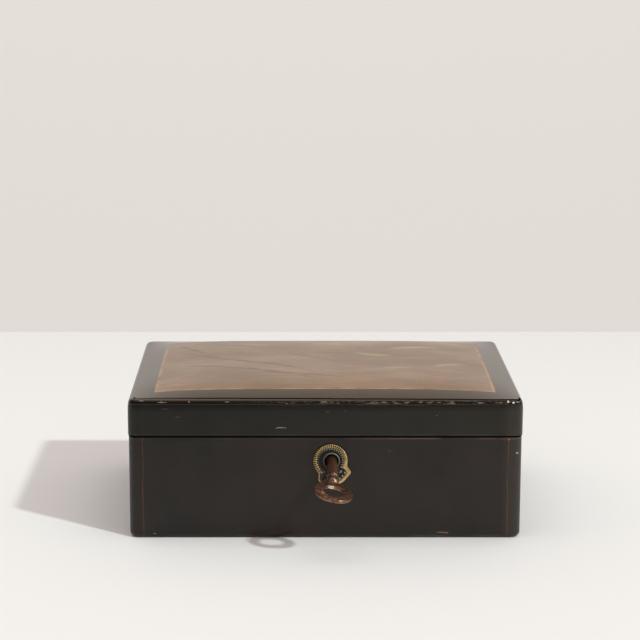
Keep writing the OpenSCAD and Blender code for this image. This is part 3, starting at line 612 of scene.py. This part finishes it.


# Roiro lacquer on the top, polished to a mirror in the border; inside a worn gold line a
# transparent brown ground with streaks of its rubbing, painted over with reeds, leaves and seeds;
# a painted shade line, black and without gloss, runs along the front of the roll, and two painted
# highlights sit at its front right corner
def paintedTop():
    material, tree, shader, place = newMaterial("brownUrushiTop")
    x, y, z = addNode(tree, "SeparateXYZ", {0: place}).outputs
    alongX = maths(tree, "ABSOLUTE", x)
    alongY = maths(tree, "ABSOLUTE", y)
    leftX = maths(tree, "SUBTRACT", lidHalfWidth, alongX)
    leftY = maths(tree, "SUBTRACT", -lidFront, alongY)
    inset = maths(tree, "MINIMUM", leftX, leftY)
    outer, inner = topPaint["lineInset"], topPaint["lineInset"] + topPaint["lineWidth"]
    soft = topPaint["softness"]
    upper = between(tree, z, lidJointHeight + topPaint["upper"][0], lidJointHeight + topPaint["upper"][1])
    reached = between(tree, inset, outer - soft, outer + soft)
    reached = multiply(tree, reached, upper)
    ground = between(tree, inset, inner - soft, inner + soft)
    ground = multiply(tree, ground, upper)
    streaks = clouds(tree, place, topPaint["streakSize"], 0.35, 0.7, stretch=topPaint["streakStretch"],
                     detail=4, seed=2.3)
    drift = clouds(tree, place, topPaint["driftSize"], 0.35, 0.68, stretch=(1.8, 1, 1), seed=0.8)
    brown = blended(tree, multiply(tree, streaks, 0.6), topPaint["ground"], topPaint["streak"])
    brown = blended(tree, multiply(tree, drift, 0.5), brown, topPaint["shade"])
    broken = clouds(tree, place, 3 * mm, 0.3, 0.55, stretch=(4, 1, 1), detail=4, seed=7)
    for tint, strength, marks in topPaint["painting"]:
        scaled = [(a * mm, b * mm, long * mm, wide * mm, turn, bend)
                  for a, b, long, wide, turn, bend in marks]
        mask = multiply(tree, strokes(tree, place, scaled, 0.35), broken, strength)
        brown = blended(tree, mask, brown, tint)
    worn = clouds(tree, place, 5 * mm, 0.25, 0.6, stretch=(3, 3, 1), detail=4, seed=1.1)
    gold = blended(tree, worn, topPaint["shade"], topPaint["line"])
    border = blended(tree, upper, topPaint["edge"], topPaint["border"])
    colour = blended(tree, reached, border, gold)
    colour = blended(tree, ground, colour, brown)
    # painted shade: a wavy black line without gloss along the front of the top, where a groove would be dark
    wobble = grain(tree, place, 30 * mm, 4)
    aslant = between(tree, x, -100 * mm, 100 * mm, *topPaint["aslant"])
    shifted = maths(tree, "MULTIPLY_ADD", wobble, 0.8 * mm, inset)
    shifted = maths(tree, "ADD", shifted, aslant)
    creaseShade = band(tree, shifted, topPaint["creaseShade"], *topPaint["creaseShadeHalf"])
    front = between(tree, y, lidFront + topPaint["creaseShadeDepth"][0], lidFront + topPaint["creaseShadeDepth"][1])
    creaseShade = multiply(tree, creaseShade, front)
    colour = blended(tree, creaseShade, colour, topPaint["creaseShadeTint"])
    chipped = clouds(tree, place, 1.1 * mm, 0.5, 0.64, stretch=(3, 1, 1), detail=5, seed=4)
    right = between(tree, x, -60 * mm, 50 * mm, 0.0, 0.6)
    lip = band(tree, z, lidJointHeight + topPaint["lipHeight"], *topPaint["lipHalf"])
    lip = multiply(tree, lip, chipped, right)
    colour = blended(tree, lip, colour, topPaint["lipTint"])
    for tint, marks in topPaint["chipsAndPaintedLight"]:
        mask = chipsAndPaintedLight(tree, place, marks)
        colour = blended(tree, mask, colour, tint)
    matt = between(tree, drift, low=topPaint["groundGloss"], high=topPaint["groundGloss"] + 0.06)
    rough = mixedValue(tree, reached, topPaint["borderGloss"], matt)
    rough = mixedValue(tree, upper, topPaint["insideGloss"], rough)
    rough = maths(tree, "MULTIPLY_ADD", creaseShade, 0.5, rough)
    shine = between(tree, creaseShade, low=0.5, high=0.0)
    ripple = grain(tree, place, topPaint["rippleSize"], 1)
    raised = maths(tree, "ADD", multiply(tree, streaks, ground, 0.05), ripple)
    raised = maths(tree, "SUBTRACT", raised, creaseShade)
    bump = addNode(tree, "Bump", {"Height": raised, "Strength": 0.3, "Distance": topPaint["relief"]})
    feed(tree, shader, {"Base Color": colour, "Roughness": rough, "Specular IOR Level": shine,
                        "IOR": topPaint["ior"], "Specular Tint": topPaint["sheen"], "Normal": bump})
    return material


# Top board: a cushion of wood whose edge rolls over to the rails

topBoard = {
    "cells": 64,
    "cornerCells": 6,
    "cornerRadius": 6 * mm,
    "edgeHeight": 3.2 * mm,
    "rollHeight": 3.0 * mm,
    "rollWidth": 2.65 * mm,
    "rollSteps": 9,
    "inset": 3.0 * mm,
    "groove": 0.22 * mm,
    "power": 4,
}


# Place along a half width: even steps on the flat, then finer ones where the corner is round
def spread(share, half, corner):
    bend = 1 - 2 * topBoard["cornerCells"] / topBoard["cells"]
    if abs(share) <= bend:
        return share / bend * (half - corner)
    past = (abs(share) - bend) / (1 - bend)
    return math.copysign(half - corner + past * corner, share)


def domeMesh():
    bm = bmesh.new()
    halfX, halfY = lidHalfWidth - topBoard["inset"], -lidFront - topBoard["inset"]
    corner = topBoard["cornerRadius"] - topBoard["inset"]
    edgeLevel = topLow.z + topBoard["edgeHeight"]
    rise = topHigh.z - edgeLevel
    cells = topBoard["cells"]
    bmesh.ops.create_grid(bm, x_segments=cells, y_segments=cells, size=1)
    for vert in bm.verts:
        x, y = spread(vert.co.x, halfX, corner), spread(vert.co.y, halfY, corner)
        a, b = (abs(x) - halfX + corner) / corner, (abs(y) - halfY + corner) / corner
        if a > 0 and b > 0:
            x = math.copysign(halfX - corner + corner * a * math.sqrt(1 - b * b / 2), x)
            y = math.copysign(halfY - corner + corner * b * math.sqrt(1 - a * a / 2), y)
        swell = (1 - abs(x / halfX) ** topBoard["power"]) * (1 - abs(y / halfY) ** topBoard["power"])
        vert.co = (x, y, edgeLevel + rise * swell)
    rim = [edge for edge in bm.edges if edge.is_boundary]
    steps = topBoard["rollSteps"]
    levels = []
    for step in range(1, steps + 1):
        turn = math.pi / 2 * step / steps
        levels.append((topBoard["inset"] - topBoard["rollWidth"] * math.sin(turn),
                       edgeLevel - topBoard["rollHeight"] * (1 - math.cos(turn))))
    foot = topBoard["inset"] - topBoard["rollWidth"]
    levels.append((foot + topBoard["groove"], topLow.z))
    for inset, level in levels:
        grown = bmesh.ops.extrude_edge_only(bm, edges=rim)["geom"]
        rim = [item for item in grown if isinstance(item, bmesh.types.BMEdge) and item.is_boundary]
        for vert in {v for edge in rim for v in edge.verts}:
            way, past = outwards(vert.co, lidHalfWidth, -lidFront, topBoard["cornerRadius"])
            vert.co.xy += way * (-inset - past)
            vert.co.z = level
    bmesh.ops.contextual_create(bm, geom=rim)
    bmesh.ops.recalc_face_normals(bm, faces=bm.faces)
    return bm


finishPiece("domed_top", domeMesh(), paintedTop(), "lid", ["lid_top_board"], smoothUnder=60)
print("top board ready")

# Escutcheon: stamped plate with a milled rim, a row of small teeth inside it and a raised keyhole ring

plate = {
    "radius": 10.9 * mm,
    "turn": 16,
    "points": 576,
    "corners": [(57, 10.9 * mm), (46.6, 15.4 * mm), (12.2, 16.8 * mm)],
    "tailRound": 14,
    "neckRound": 18,
    "hole": 4.45 * mm,
    "holeAside": 0.7 * mm,
    "slotHalf": 2.5 * mm,
    "slotReach": 7.7 * mm,
    # both counts are a guess, as coarse as they need to be to show: the photo is too small for a count
    "outerTeeth": 48,
    "innerTeeth": 32,
    "toothHeight": 0.13 * mm,
    "innerToothHeight": 0.32 * mm,
    # the outer teeth fade to the least share within this many degrees of the tail
    "smoothTail": 50,
    "smoothFade": 15,
    "smoothLeast": 0.15,
    "leastSlope": 0.05,
    "tailSpan": 30,
    # stands for the inset of a point on the keyhole ring
    "ringMark": 20.0,
    # inset from the outline, height, share of the outer teeth, share of the inner teeth
    "rim": [(0, 0, 0, 0), (0, 1.15, 0, 0), (0.12, 1.38, 0.5, 0), (0.4, 1.53, 1, 0), (0.9, 1.64, 1, 0),
            (1.4, 1.67, 1, 0), (1.9, 1.62, 1, 0), (2.25, 1.5, 0.8, 0), (2.45, 1.3, 0.3, 0),
            (2.6, 1.02, 0, 0.6), (2.8, 1.0, 0, 1), (3.5, 0.98, 0, 0.8), (3.8, 0.96, 0, 0)],
    # distance from the hole, height
    "ring": [(1.5, 0.96), (0.95, 0.98), (0.88, 1.24), (0.65, 1.38), (0.35, 1.36), (0.1, 1.22), (0, 1.0),
             (0, 0)],
}
keyTurn = next(joint for joint in frame["joints"] if joint["name"] == "key_turn")
plateX = keyholeLow.x + plate["radius"]
plateZ = keyholeHigh.z - plate["radius"]


# Distance from the keyhole to the outline, drawn in by an inset, at an angle from the tail
def plateEdge(turn, inset):
    turn = abs(turn)
    corners = [Vector((r * math.sin(math.radians(a)), r * math.cos(math.radians(a))))
               for a, r in plate["corners"]]
    corners.append(Vector((-corners[-1].x, corners[-1].y)))
    way = Vector((math.sin(turn), math.cos(turn)))
    total = 0
    for first, second in zip(corners, corners[1:]):
        along = (second - first).normalized()
        out = Vector((along.y, -along.x))
        if out.dot(first) < 0:
            out = -out
        if out.dot(way) > plate["leastSlope"]:
            total += ((out.dot(first) - inset) / out.dot(way)) ** -plate["tailRound"]
    tail = total ** (-1 / plate["tailRound"]) if total else 0
    power = plate["neckRound"]
    if turn > math.radians(plate["corners"][0][0] + plate["tailSpan"]):
        tail = 0
    return ((plate["radius"] - inset) ** power + tail ** power) ** (1 / power)


def holeEdge(turn):
    tiny = 0.01
    slot = plate["slotReach"] / max(math.cos(turn), tiny) if math.cos(turn) > 0 else 0
    if abs(math.sin(turn)) > tiny:
        slot = min(slot, plate["slotHalf"] / abs(math.sin(turn)))
    return max(plate["hole"], slot)


def plateMesh():
    bm = bmesh.new()
    for name in ("groove", "tooth", "across"):
        bm.verts.layers.float.new(name)
    groove, tooth, across = bm.verts.layers.float.values()
    bmesh.ops.create_circle(bm, segments=plate["points"], radius=1)
    rim = bm.edges[:]
    first = rim
    aside = plate["holeAside"]
    lean = math.radians(plate["turn"])
    holeCentre = Vector((-aside * math.cos(lean), aside * math.sin(lean)))

    def lay(edges, distance, before, centre):
        for vert in {v for edge in edges for v in edge.verts}:
            turn = math.atan2(vert.co.x - before.x, vert.co.y - before.y)
            reach, height, vert[groove], vert[tooth], vert[across] = distance(turn)
            vert.co = (centre.x + reach * math.sin(turn), centre.y + reach * math.cos(turn), height)

    def rimPlace(inset, height, outer, inner):
        def place(turn):
            plain = (abs(math.degrees(turn)) - plate["smoothTail"]) / plate["smoothFade"]
            plain = min(1, max(plate["smoothLeast"], plain))
            wave = math.cos(plate["outerTeeth"] * turn) * outer * plain
            small = inner * (0.5 + 0.5 * math.cos(plate["innerTeeth"] * turn))
            level = height * mm + plate["toothHeight"] * wave + plate["innerToothHeight"] * small
            return plateEdge(turn, inset * mm), level, 0.5 * outer * plain - 0.5 * wave, small, inset
        return place

    def ringPlace(distance, height):
        return lambda turn: (holeEdge(turn) + distance * mm, height * mm, 0.0, 0.0, plate["ringMark"])

    middle = Vector((0, 0))
    places = [(rimPlace(*step), middle) for step in plate["rim"]]
    places += [(ringPlace(*step), holeCentre) for step in plate["ring"]]
    lay(rim, places[0][0], middle, middle)
    before = middle
    for place, centre in places[1:]:
        grown = bmesh.ops.extrude_edge_only(bm, edges=rim)["geom"]
        new = {item for item in grown if isinstance(item, bmesh.types.BMVert)}
        rim = [item for item in grown if isinstance(item, bmesh.types.BMEdge)
               and all(v in new for v in item.verts)]
        lay(rim, place, before, centre)
        before = centre
    bmesh.ops.bridge_loops(bm, edges=first + rim)
    bmesh.ops.recalc_face_normals(bm, faces=bm.faces)
    tail = Matrix.Rotation(math.radians(plate["turn"]), 4, "Z") @ Matrix.Rotation(math.pi, 4, "Z")
    stand = Matrix.Translation((plateX, frontFace, plateZ)) @ Matrix.Rotation(math.pi / 2, 4, "X")
    bmesh.ops.transform(bm, matrix=stand @ tail, verts=bm.verts)
    return bm


# Key: turned shank and collar, a forged ring bow and a small bit

key = {
    "rest": -102,
    "droop": 14,
    "segments": 48,
    "bowReach": 38.5 * mm,
    "bowRadius": 11 * mm,
    "bowHole": 5.1 * mm,
    "bowStretch": 3 * mm,
    "bowThickness": 2.6 * mm,
    "bowRound": 1.05 * mm,
    "bowRoundSteps": 5,
    "bowMiddle": 0.01 * mm,
    "dents": 0.10 * mm,
    "dentSize": 2.2 * mm,
    "dentsFrom": 17 * mm,
    # radius and place along the key, from the nose to where the collar runs into the bow
    "profile": [(0, -8.6), (2.5, -8.6), (2.95, -8.4), (3.2, -8.0), (3.2, 19.1), (3.32, 19.3),
                (3.62, 19.5), (3.74, 19.9), (3.74, 20.6), (3.6, 21.0), (3.3, 21.3), (3.0, 21.9),
                (2.93, 22.6), (3.02, 23.4), (3.28, 24.5), (3.55, 25.5), (3.7, 26.3), (3.75, 27.0),
                (3.62, 27.7), (3.3, 28.4), (2.8, 29.1), (0, 29.7)],
    "squashFrom": 26.6 * mm,
    "squashTo": 29.4 * mm,
    "squash": 0.42,
    "bit": (1.8 * mm, 6.2 * mm, 2.4 * mm),
    "bitPlace": -7.0 * mm,
    "bitSlot": (1.3 * mm, 0.8 * mm),
    # painted highlights on the bow: a cream one and an orange one
    "spots": [
        ("#f7dcc0", [(3.3 * mm, -123.0 * mm, 43.2 * mm, 2.0 * mm, 0.9 * mm, 0)]),
        ("#e8a47c", [(-2.2 * mm, -131.2 * mm, 42.6 * mm, 1.7 * mm, 1.0 * mm, 0)]),
    ],
}


def keyMesh():
    bm = bmesh.new()
    line = [bm.verts.new((r * mm, 0, s * mm)) for r, s in key["profile"]]
    edges = [bm.edges.new(pair) for pair in zip(line, line[1:])]
    bmesh.ops.spin(bm, geom=line + edges, cent=(0, 0, 0), axis=(0, 0, 1), angle=2 * math.pi,
                   steps=key["segments"], use_merge=True)
    bmesh.ops.remove_doubles(bm, verts=bm.verts, dist=mergeReach)
    for vert in bm.verts:
        share = (vert.co.z - key["squashFrom"]) / (key["squashTo"] - key["squashFrom"])
        share = min(1, max(0, share))
        vert.co.x *= 1 - (1 - key["squash"]) * share
    centre = Vector((0, 0, key["bowReach"]))
    middle = (key["bowRadius"] + key["bowHole"]) / 2
    long, thick = key["bowRadius"] - key["bowHole"], key["bowThickness"]
    shank = set(bm.verts)
    section = bmesh.ops.create_grid(bm, x_segments=1, y_segments=1, size=0.5)["verts"]
    for vert in section:
        vert.co = centre + Vector((vert.co.x * thick, middle + vert.co.y * long, 0))
    bmesh.ops.bevel(bm, geom=section, offset=key["bowRound"], offset_type="OFFSET",
                    segments=key["bowRoundSteps"], profile=0.5, material=-1, affect="VERTICES",
                    clamp_overlap=True)
    section = [vert for vert in bm.verts if vert not in shank]
    loop = list({edge for vert in section for edge in vert.link_edges})
    bmesh.ops.delete(bm, geom=list({face for vert in section for face in vert.link_faces}),
                     context="FACES_ONLY")
    bmesh.ops.spin(bm, geom=section + loop, cent=centre, axis=(1, 0, 0), angle=2 * math.pi,
                   steps=2 * key["segments"], use_merge=True)
    bmesh.ops.remove_doubles(bm, verts=bm.verts, dist=mergeReach)
    for vert in bm.verts:
        if vert not in shank and abs(vert.co.y) > key["bowMiddle"]:
            vert.co.y += math.copysign(key["bowStretch"] / 2, vert.co.y)
    bitWidth, bitReach, bitLength = key["bit"]
    slotDepth, slotWidth = key["bitSlot"]
    outline = [(0, -0.5), (1, -0.5), (1, -slotWidth / 2 / bitLength),
               (1 - slotDepth / bitReach, -slotWidth / 2 / bitLength),
               (1 - slotDepth / bitReach, slotWidth / 2 / bitLength), (1, slotWidth / 2 / bitLength),
               (1, 0.5), (0, 0.5)]
    corners = [bm.verts.new((-bitWidth / 2, -bitReach * a, key["bitPlace"] + bitLength * b))
               for a, b in outline]
    side = bm.faces.new(corners)
    moved = bmesh.ops.extrude_face_region(bm, geom=[side])["geom"]
    moved = [item for item in moved if isinstance(item, bmesh.types.BMVert)]
    bmesh.ops.translate(bm, vec=(bitWidth, 0, 0), verts=moved)
    bmesh.ops.recalc_face_normals(bm, faces=bm.faces)
    for vert in bm.verts:
        if vert.co.z > key["dentsFrom"]:
            depth = 0.5 + 0.5 * noise.noise(vert.co / key["dentSize"])
            vert.co -= vert.normal * key["dents"] * depth
    place = (Matrix.Translation(keyTurn["pos_m"]) @ Matrix.Rotation(math.radians(90 + key["droop"]), 4, "X")
             @ Matrix.Rotation(math.radians(key["rest"]), 4, "Z"))
    bmesh.ops.transform(bm, matrix=place, verts=bm.verts)
    return bm


patina = {
    "grainSize": 0.8 * mm,
    "ragged": 0.12 * mm,
    "giltFrom": (1.28 * mm, 1.44 * mm),
    "wornFrom": (1.08 * mm, 1.28 * mm),
    # where the painted shade round the lower left of the tail lies
    "tailShadeLeft": (-1.0 * mm, -2.0 * mm),
    "tailShadeLow": (-7.2 * mm, -8.2 * mm),
    "tailShadeInset": (0.35, 0.7),
    "upperReach": 3 * mm,
    # the lit right side, where the worn edge and the crests of the teeth get painted light
    "lit": (-6 * mm, 3 * mm),
    "smooth": (6.5 * mm, 9 * mm),
    "deep": "#0d0e0a",
    "dusty": "#24241d",
    # painted reflection on the crests of the small teeth
    "crestReflection": "#a9aea2",
    "edge": "#8a8678",
    "gold": "#c0975f",
    "bright": "#e2c38f",
    # painted shade in the milled grooves
    "grooveShade": "#2e1d0c",
}


# Stamped brass, gilt and polished on the rim, and gone to a black patina in the hollow, where no
# hand reaches; painted shade in the grooves of the milled rim, painted reflections on the crests of
# the small teeth, a lighter worn edge that is stronger on the lit right side as painted light, and
# painted shade round the lower left of the tail
def gildedPlate():
    material, tree, shader, place = newMaterial("stampedBrassPatinated")
    x, y, z = addNode(tree, "SeparateXYZ", {0: place}).outputs
    height = maths(tree, "SUBTRACT", frontFace, y)
    ragged = grain(tree, place, patina["grainSize"], 3)
    lift = between(tree, ragged, low=-patina["ragged"], high=patina["ragged"])
    level = maths(tree, "ADD", height, lift)
    gilt = between(tree, level, *patina["giltFrom"])
    worn = between(tree, level, *patina["wornFrom"])
    milled, toothed, across = [addNode(tree, "Attribute", attribute_name=name).outputs["Fac"]
                               for name in ("groove", "tooth", "across")]
    rimPart = between(tree, across, 12, 8)
    aside = maths(tree, "SUBTRACT", x, plateX)
    above = maths(tree, "SUBTRACT", z, plateZ)
    # painted shade: the lower left of the tail loses its gilt and stays dark
    leftX = between(tree, aside, *patina["tailShadeLeft"])
    lowZ = between(tree, above, *patina["tailShadeLow"])
    within = between(tree, across, *patina["tailShadeInset"])
    tail = multiply(tree, leftX, lowZ, within, 0.95)
    unshaded = maths(tree, "SUBTRACT", 1.0, tail)
    gilt = multiply(tree, gilt, rimPart, unshaded)
    upperZ = between(tree, above, -patina["upperReach"], patina["upperReach"], 0.35, 1.0)
    worn = multiply(tree, worn, unshaded, upperZ)
    hollow = clouds(tree, place, 1.1 * mm, 0.35, 0.65, seed=2)
    dark = blended(tree, hollow, patina["deep"], patina["dusty"])
    # painted reflection on the tooth crests, and a lighter worn edge that is partly wear and partly painted
    # light, both stronger on the lit right side
    lit = between(tree, aside, *patina["lit"], 0.25, 0.9)
    crests = between(tree, toothed, 0.4, 0.9)
    dark = blended(tree, multiply(tree, crests, lit, unshaded), dark, patina["crestReflection"])
    edge = blended(tree, multiply(tree, worn, lit), dark, patina["edge"])
    gold = clouds(tree, place, 2.4 * mm, 0.3, 0.7, seed=5)
    bright = blended(tree, gold, patina["gold"], patina["bright"])
    # painted shade in the milled grooves, fading on the smoother right side
    smoother = between(tree, aside, *patina["smooth"], 1.0, 0.3)
    bright = blended(tree, multiply(tree, milled, smoother), bright, patina["grooveShade"])
    colour = blended(tree, gilt, edge, bright)
    rough = between(tree, gilt, low=0.45, high=0.4)
    metal = between(tree, gilt, low=0.15, high=1.0)
    shine = between(tree, gilt, low=0.3, high=0.5)
    bump = addNode(tree, "Bump", {"Height": ragged, "Strength": 0.3, "Distance": 0.05 * mm})
    feed(tree, shader, {"Base Color": colour, "Roughness": rough, "Metallic": metal,
                        "Specular IOR Level": shine, "Normal": bump})
    return material


iron = {
    "oxideSize": 2.6 * mm,
    "pitSize": 0.9 * mm,
    "shank": (19.5 * mm, 16.5 * mm),
    "collar": 23 * mm,
    "collarHalf": (6 * mm, 4 * mm),
    "relief": 0.25 * mm,
    "oxideTint": "#54301f",
    "bareTint": "#a37a63",
    "shankTint": "#b07c5c",
    "pitTint": "#cdb49a",
    "metal": 0.85,
}


# Wrought iron handled for a century: brown oxide, pinkish bare metal where fingers rub, and a
# lighter worn collar full of pits, with two painted highlights, cream and orange, on the bow
def handledIron():
    material, tree, shader, place = newMaterial("handledIron")
    y = addNode(tree, "SeparateXYZ", {0: place}).outputs[1]
    oxide = clouds(tree, place, iron["oxideSize"], 0.3, 0.7, seed=1)
    brown = blended(tree, oxide, iron["oxideTint"], iron["bareTint"])
    reach = maths(tree, "SUBTRACT", keyTurn["pos_m"][1], y)
    inner = between(tree, reach, *iron["shank"])
    brown = blended(tree, multiply(tree, inner, 0.7), brown, iron["shankTint"])
    pits = clouds(tree, place, iron["pitSize"], 0.5, 0.68, seed=6)
    collar = band(tree, reach, iron["collar"], *iron["collarHalf"])
    rubbed = between(tree, collar, low=0.25, high=0.8)
    colour = blended(tree, multiply(tree, pits, rubbed), brown, iron["pitTint"])
    # painted highlights on the bow
    for tint, marks in key["spots"]:
        colour = blended(tree, chipsAndPaintedLight(tree, place, marks), colour, tint)
    rough = between(tree, oxide, low=0.42, high=0.24)
    beaten = grain(tree, place, iron["oxideSize"], 1)
    raised = maths(tree, "ADD", multiply(tree, pits, collar), beaten)
    bump = addNode(tree, "Bump", {"Height": raised, "Strength": 0.5, "Distance": iron["relief"]})
    feed(tree, shader, {"Base Color": colour, "Roughness": rough, "Metallic": iron["metal"], "Normal": bump})
    return material


finishPiece("milled_escutcheon", plateMesh(), gildedPlate(), "case", ["escutcheon"],
            smoothUnder=50)
finishPiece("ring_key", keyMesh(), handledIron(), "key", ["key"], smoothUnder=50)
print("escutcheon and key ready")

lockGrease = {
    "reach": (13 * mm, 9 * mm),
    "tint": "#120c07",
}


# Fittings that stay as built, rolled or cast and left unlacquered: tarnish in clouds, brighter
# where it is rubbed, and black with old grease inside the lock round the key
def tarnishedBrass(name, finish):
    material, tree, shader, place = newMaterial(name)
    tarnish = clouds(tree, place, finish["clouds"], 0.32, 0.68, detail=5, seed=finish["seed"])
    colour = blended(tree, tarnish, finish["bright"], finish["dark"])
    scratches = clouds(tree, place, 0.5 * mm, 0.55, 0.7, stretch=finish["grain"], detail=2, seed=3)
    colour = blended(tree, multiply(tree, scratches, 0.35), colour, finish["scratch"])
    fromKey = addNode(tree, "VectorMath", {0: place, 1: keyTurn["pos_m"]},
                      operation="DISTANCE").outputs["Value"]
    grease = between(tree, fromKey, *lockGrease["reach"])
    colour = blended(tree, multiply(tree, grease, finish["grease"]), colour, lockGrease["tint"])
    rough = between(tree, tarnish, low=0.32, high=0.5)
    bump = addNode(tree, "Bump", {"Height": scratches, "Strength": 0.2, "Distance": 0.03 * mm})
    feed(tree, shader, {"Base Color": colour, "Roughness": rough, "Metallic": 1.0, "Normal": bump})
    return material


lining = {
    "fadeSize": 40 * mm,
    "fibreSize": 0.8 * mm,
    "spotSize": 9 * mm,
    "relief": 0.08 * mm,
    "dyeTint": "#6d2f24",
    "fadedTint": "#84412f",
    "fibreTint": "#b08a70",
    "spotTint": "#4a2318",
    "roughness": 0.9,
    "gloss": 0.3,
}


# Handmade kozo paper dyed with iron red: matt, with long pale fibres and a few foxed spots
def liningPaper():
    material, tree, shader, place = newMaterial("dyedKozoPaper")
    fade = clouds(tree, place, lining["fadeSize"], 0.35, 0.7, seed=3)
    colour = blended(tree, fade, lining["dyeTint"], lining["fadedTint"])
    fibres = clouds(tree, place, lining["fibreSize"], 0.58, 0.7, stretch=(12, 1.5, 1), detail=4, seed=8)
    colour = blended(tree, multiply(tree, fibres, 0.35), colour, lining["fibreTint"])
    spots = clouds(tree, place, lining["spotSize"], 0.66, 0.74, detail=4, seed=5)
    colour = blended(tree, multiply(tree, spots, 0.5), colour, lining["spotTint"])
    bump = addNode(tree, "Bump", {"Height": fibres, "Strength": 0.4, "Distance": lining["relief"]})
    feed(tree, shader, {"Base Color": colour, "Roughness": lining["roughness"],
                        "Specular IOR Level": lining["gloss"], "Normal": bump})
    return material


metals = {
    "rolledBrassLock": {
        "bright": "#a3834a", "dark": "#6b5230", "scratch": "#c9ab70", "clouds": 9 * mm, "seed": 1.5,
        "grain": (14, 1, 1), "grease": 0.95,
        "nodes": ["lock_plate", "lock_rim", "lock_cap", "lock_rivets", "lock_bolt", "hook_plate"],
    },
    "castBrassHinge": {
        "bright": "#947343", "dark": "#5a4429", "scratch": "#b99a60", "clouds": 5 * mm, "seed": 4.2,
        "grain": (8, 1, 1), "grease": 0.0,
        "nodes": ["left_hinge_case_leaf", "left_hinge_lid_leaf", "left_hinge_pin",
                  "right_hinge_case_leaf", "right_hinge_lid_leaf", "right_hinge_pin",
                  "hinge_case_screws", "hinge_lid_screws", "lock_screws", "hook_plate_screws"],
    },
    "gildedPin": {
        "bright": "#a5a08a", "dark": "#5c5540", "scratch": "#c8c2ac", "clouds": 0.8 * mm, "seed": 2.2,
        "grain": (1, 1, 1), "grease": 0.0, "nodes": ["escutcheon_pins"],
    },
    "bluedSpringSteel": {
        "bright": "#5b5f66", "dark": "#3a3a40", "scratch": "#8d8f94", "clouds": 3 * mm, "seed": 6.4,
        "grain": (1, 1, 10), "grease": 0.5, "nodes": ["lock_spring"],
    },
}
for name, finish in metals.items():
    metal = tarnishedBrass(name, finish)
    for node in finish["nodes"]:
        for slot in nodes[node].material_slots:
            slot.material = metal
paper = liningPaper()
for slot in nodes["floor_lining"].material_slots:
    slot.material = paper
print("fittings and lining ready")
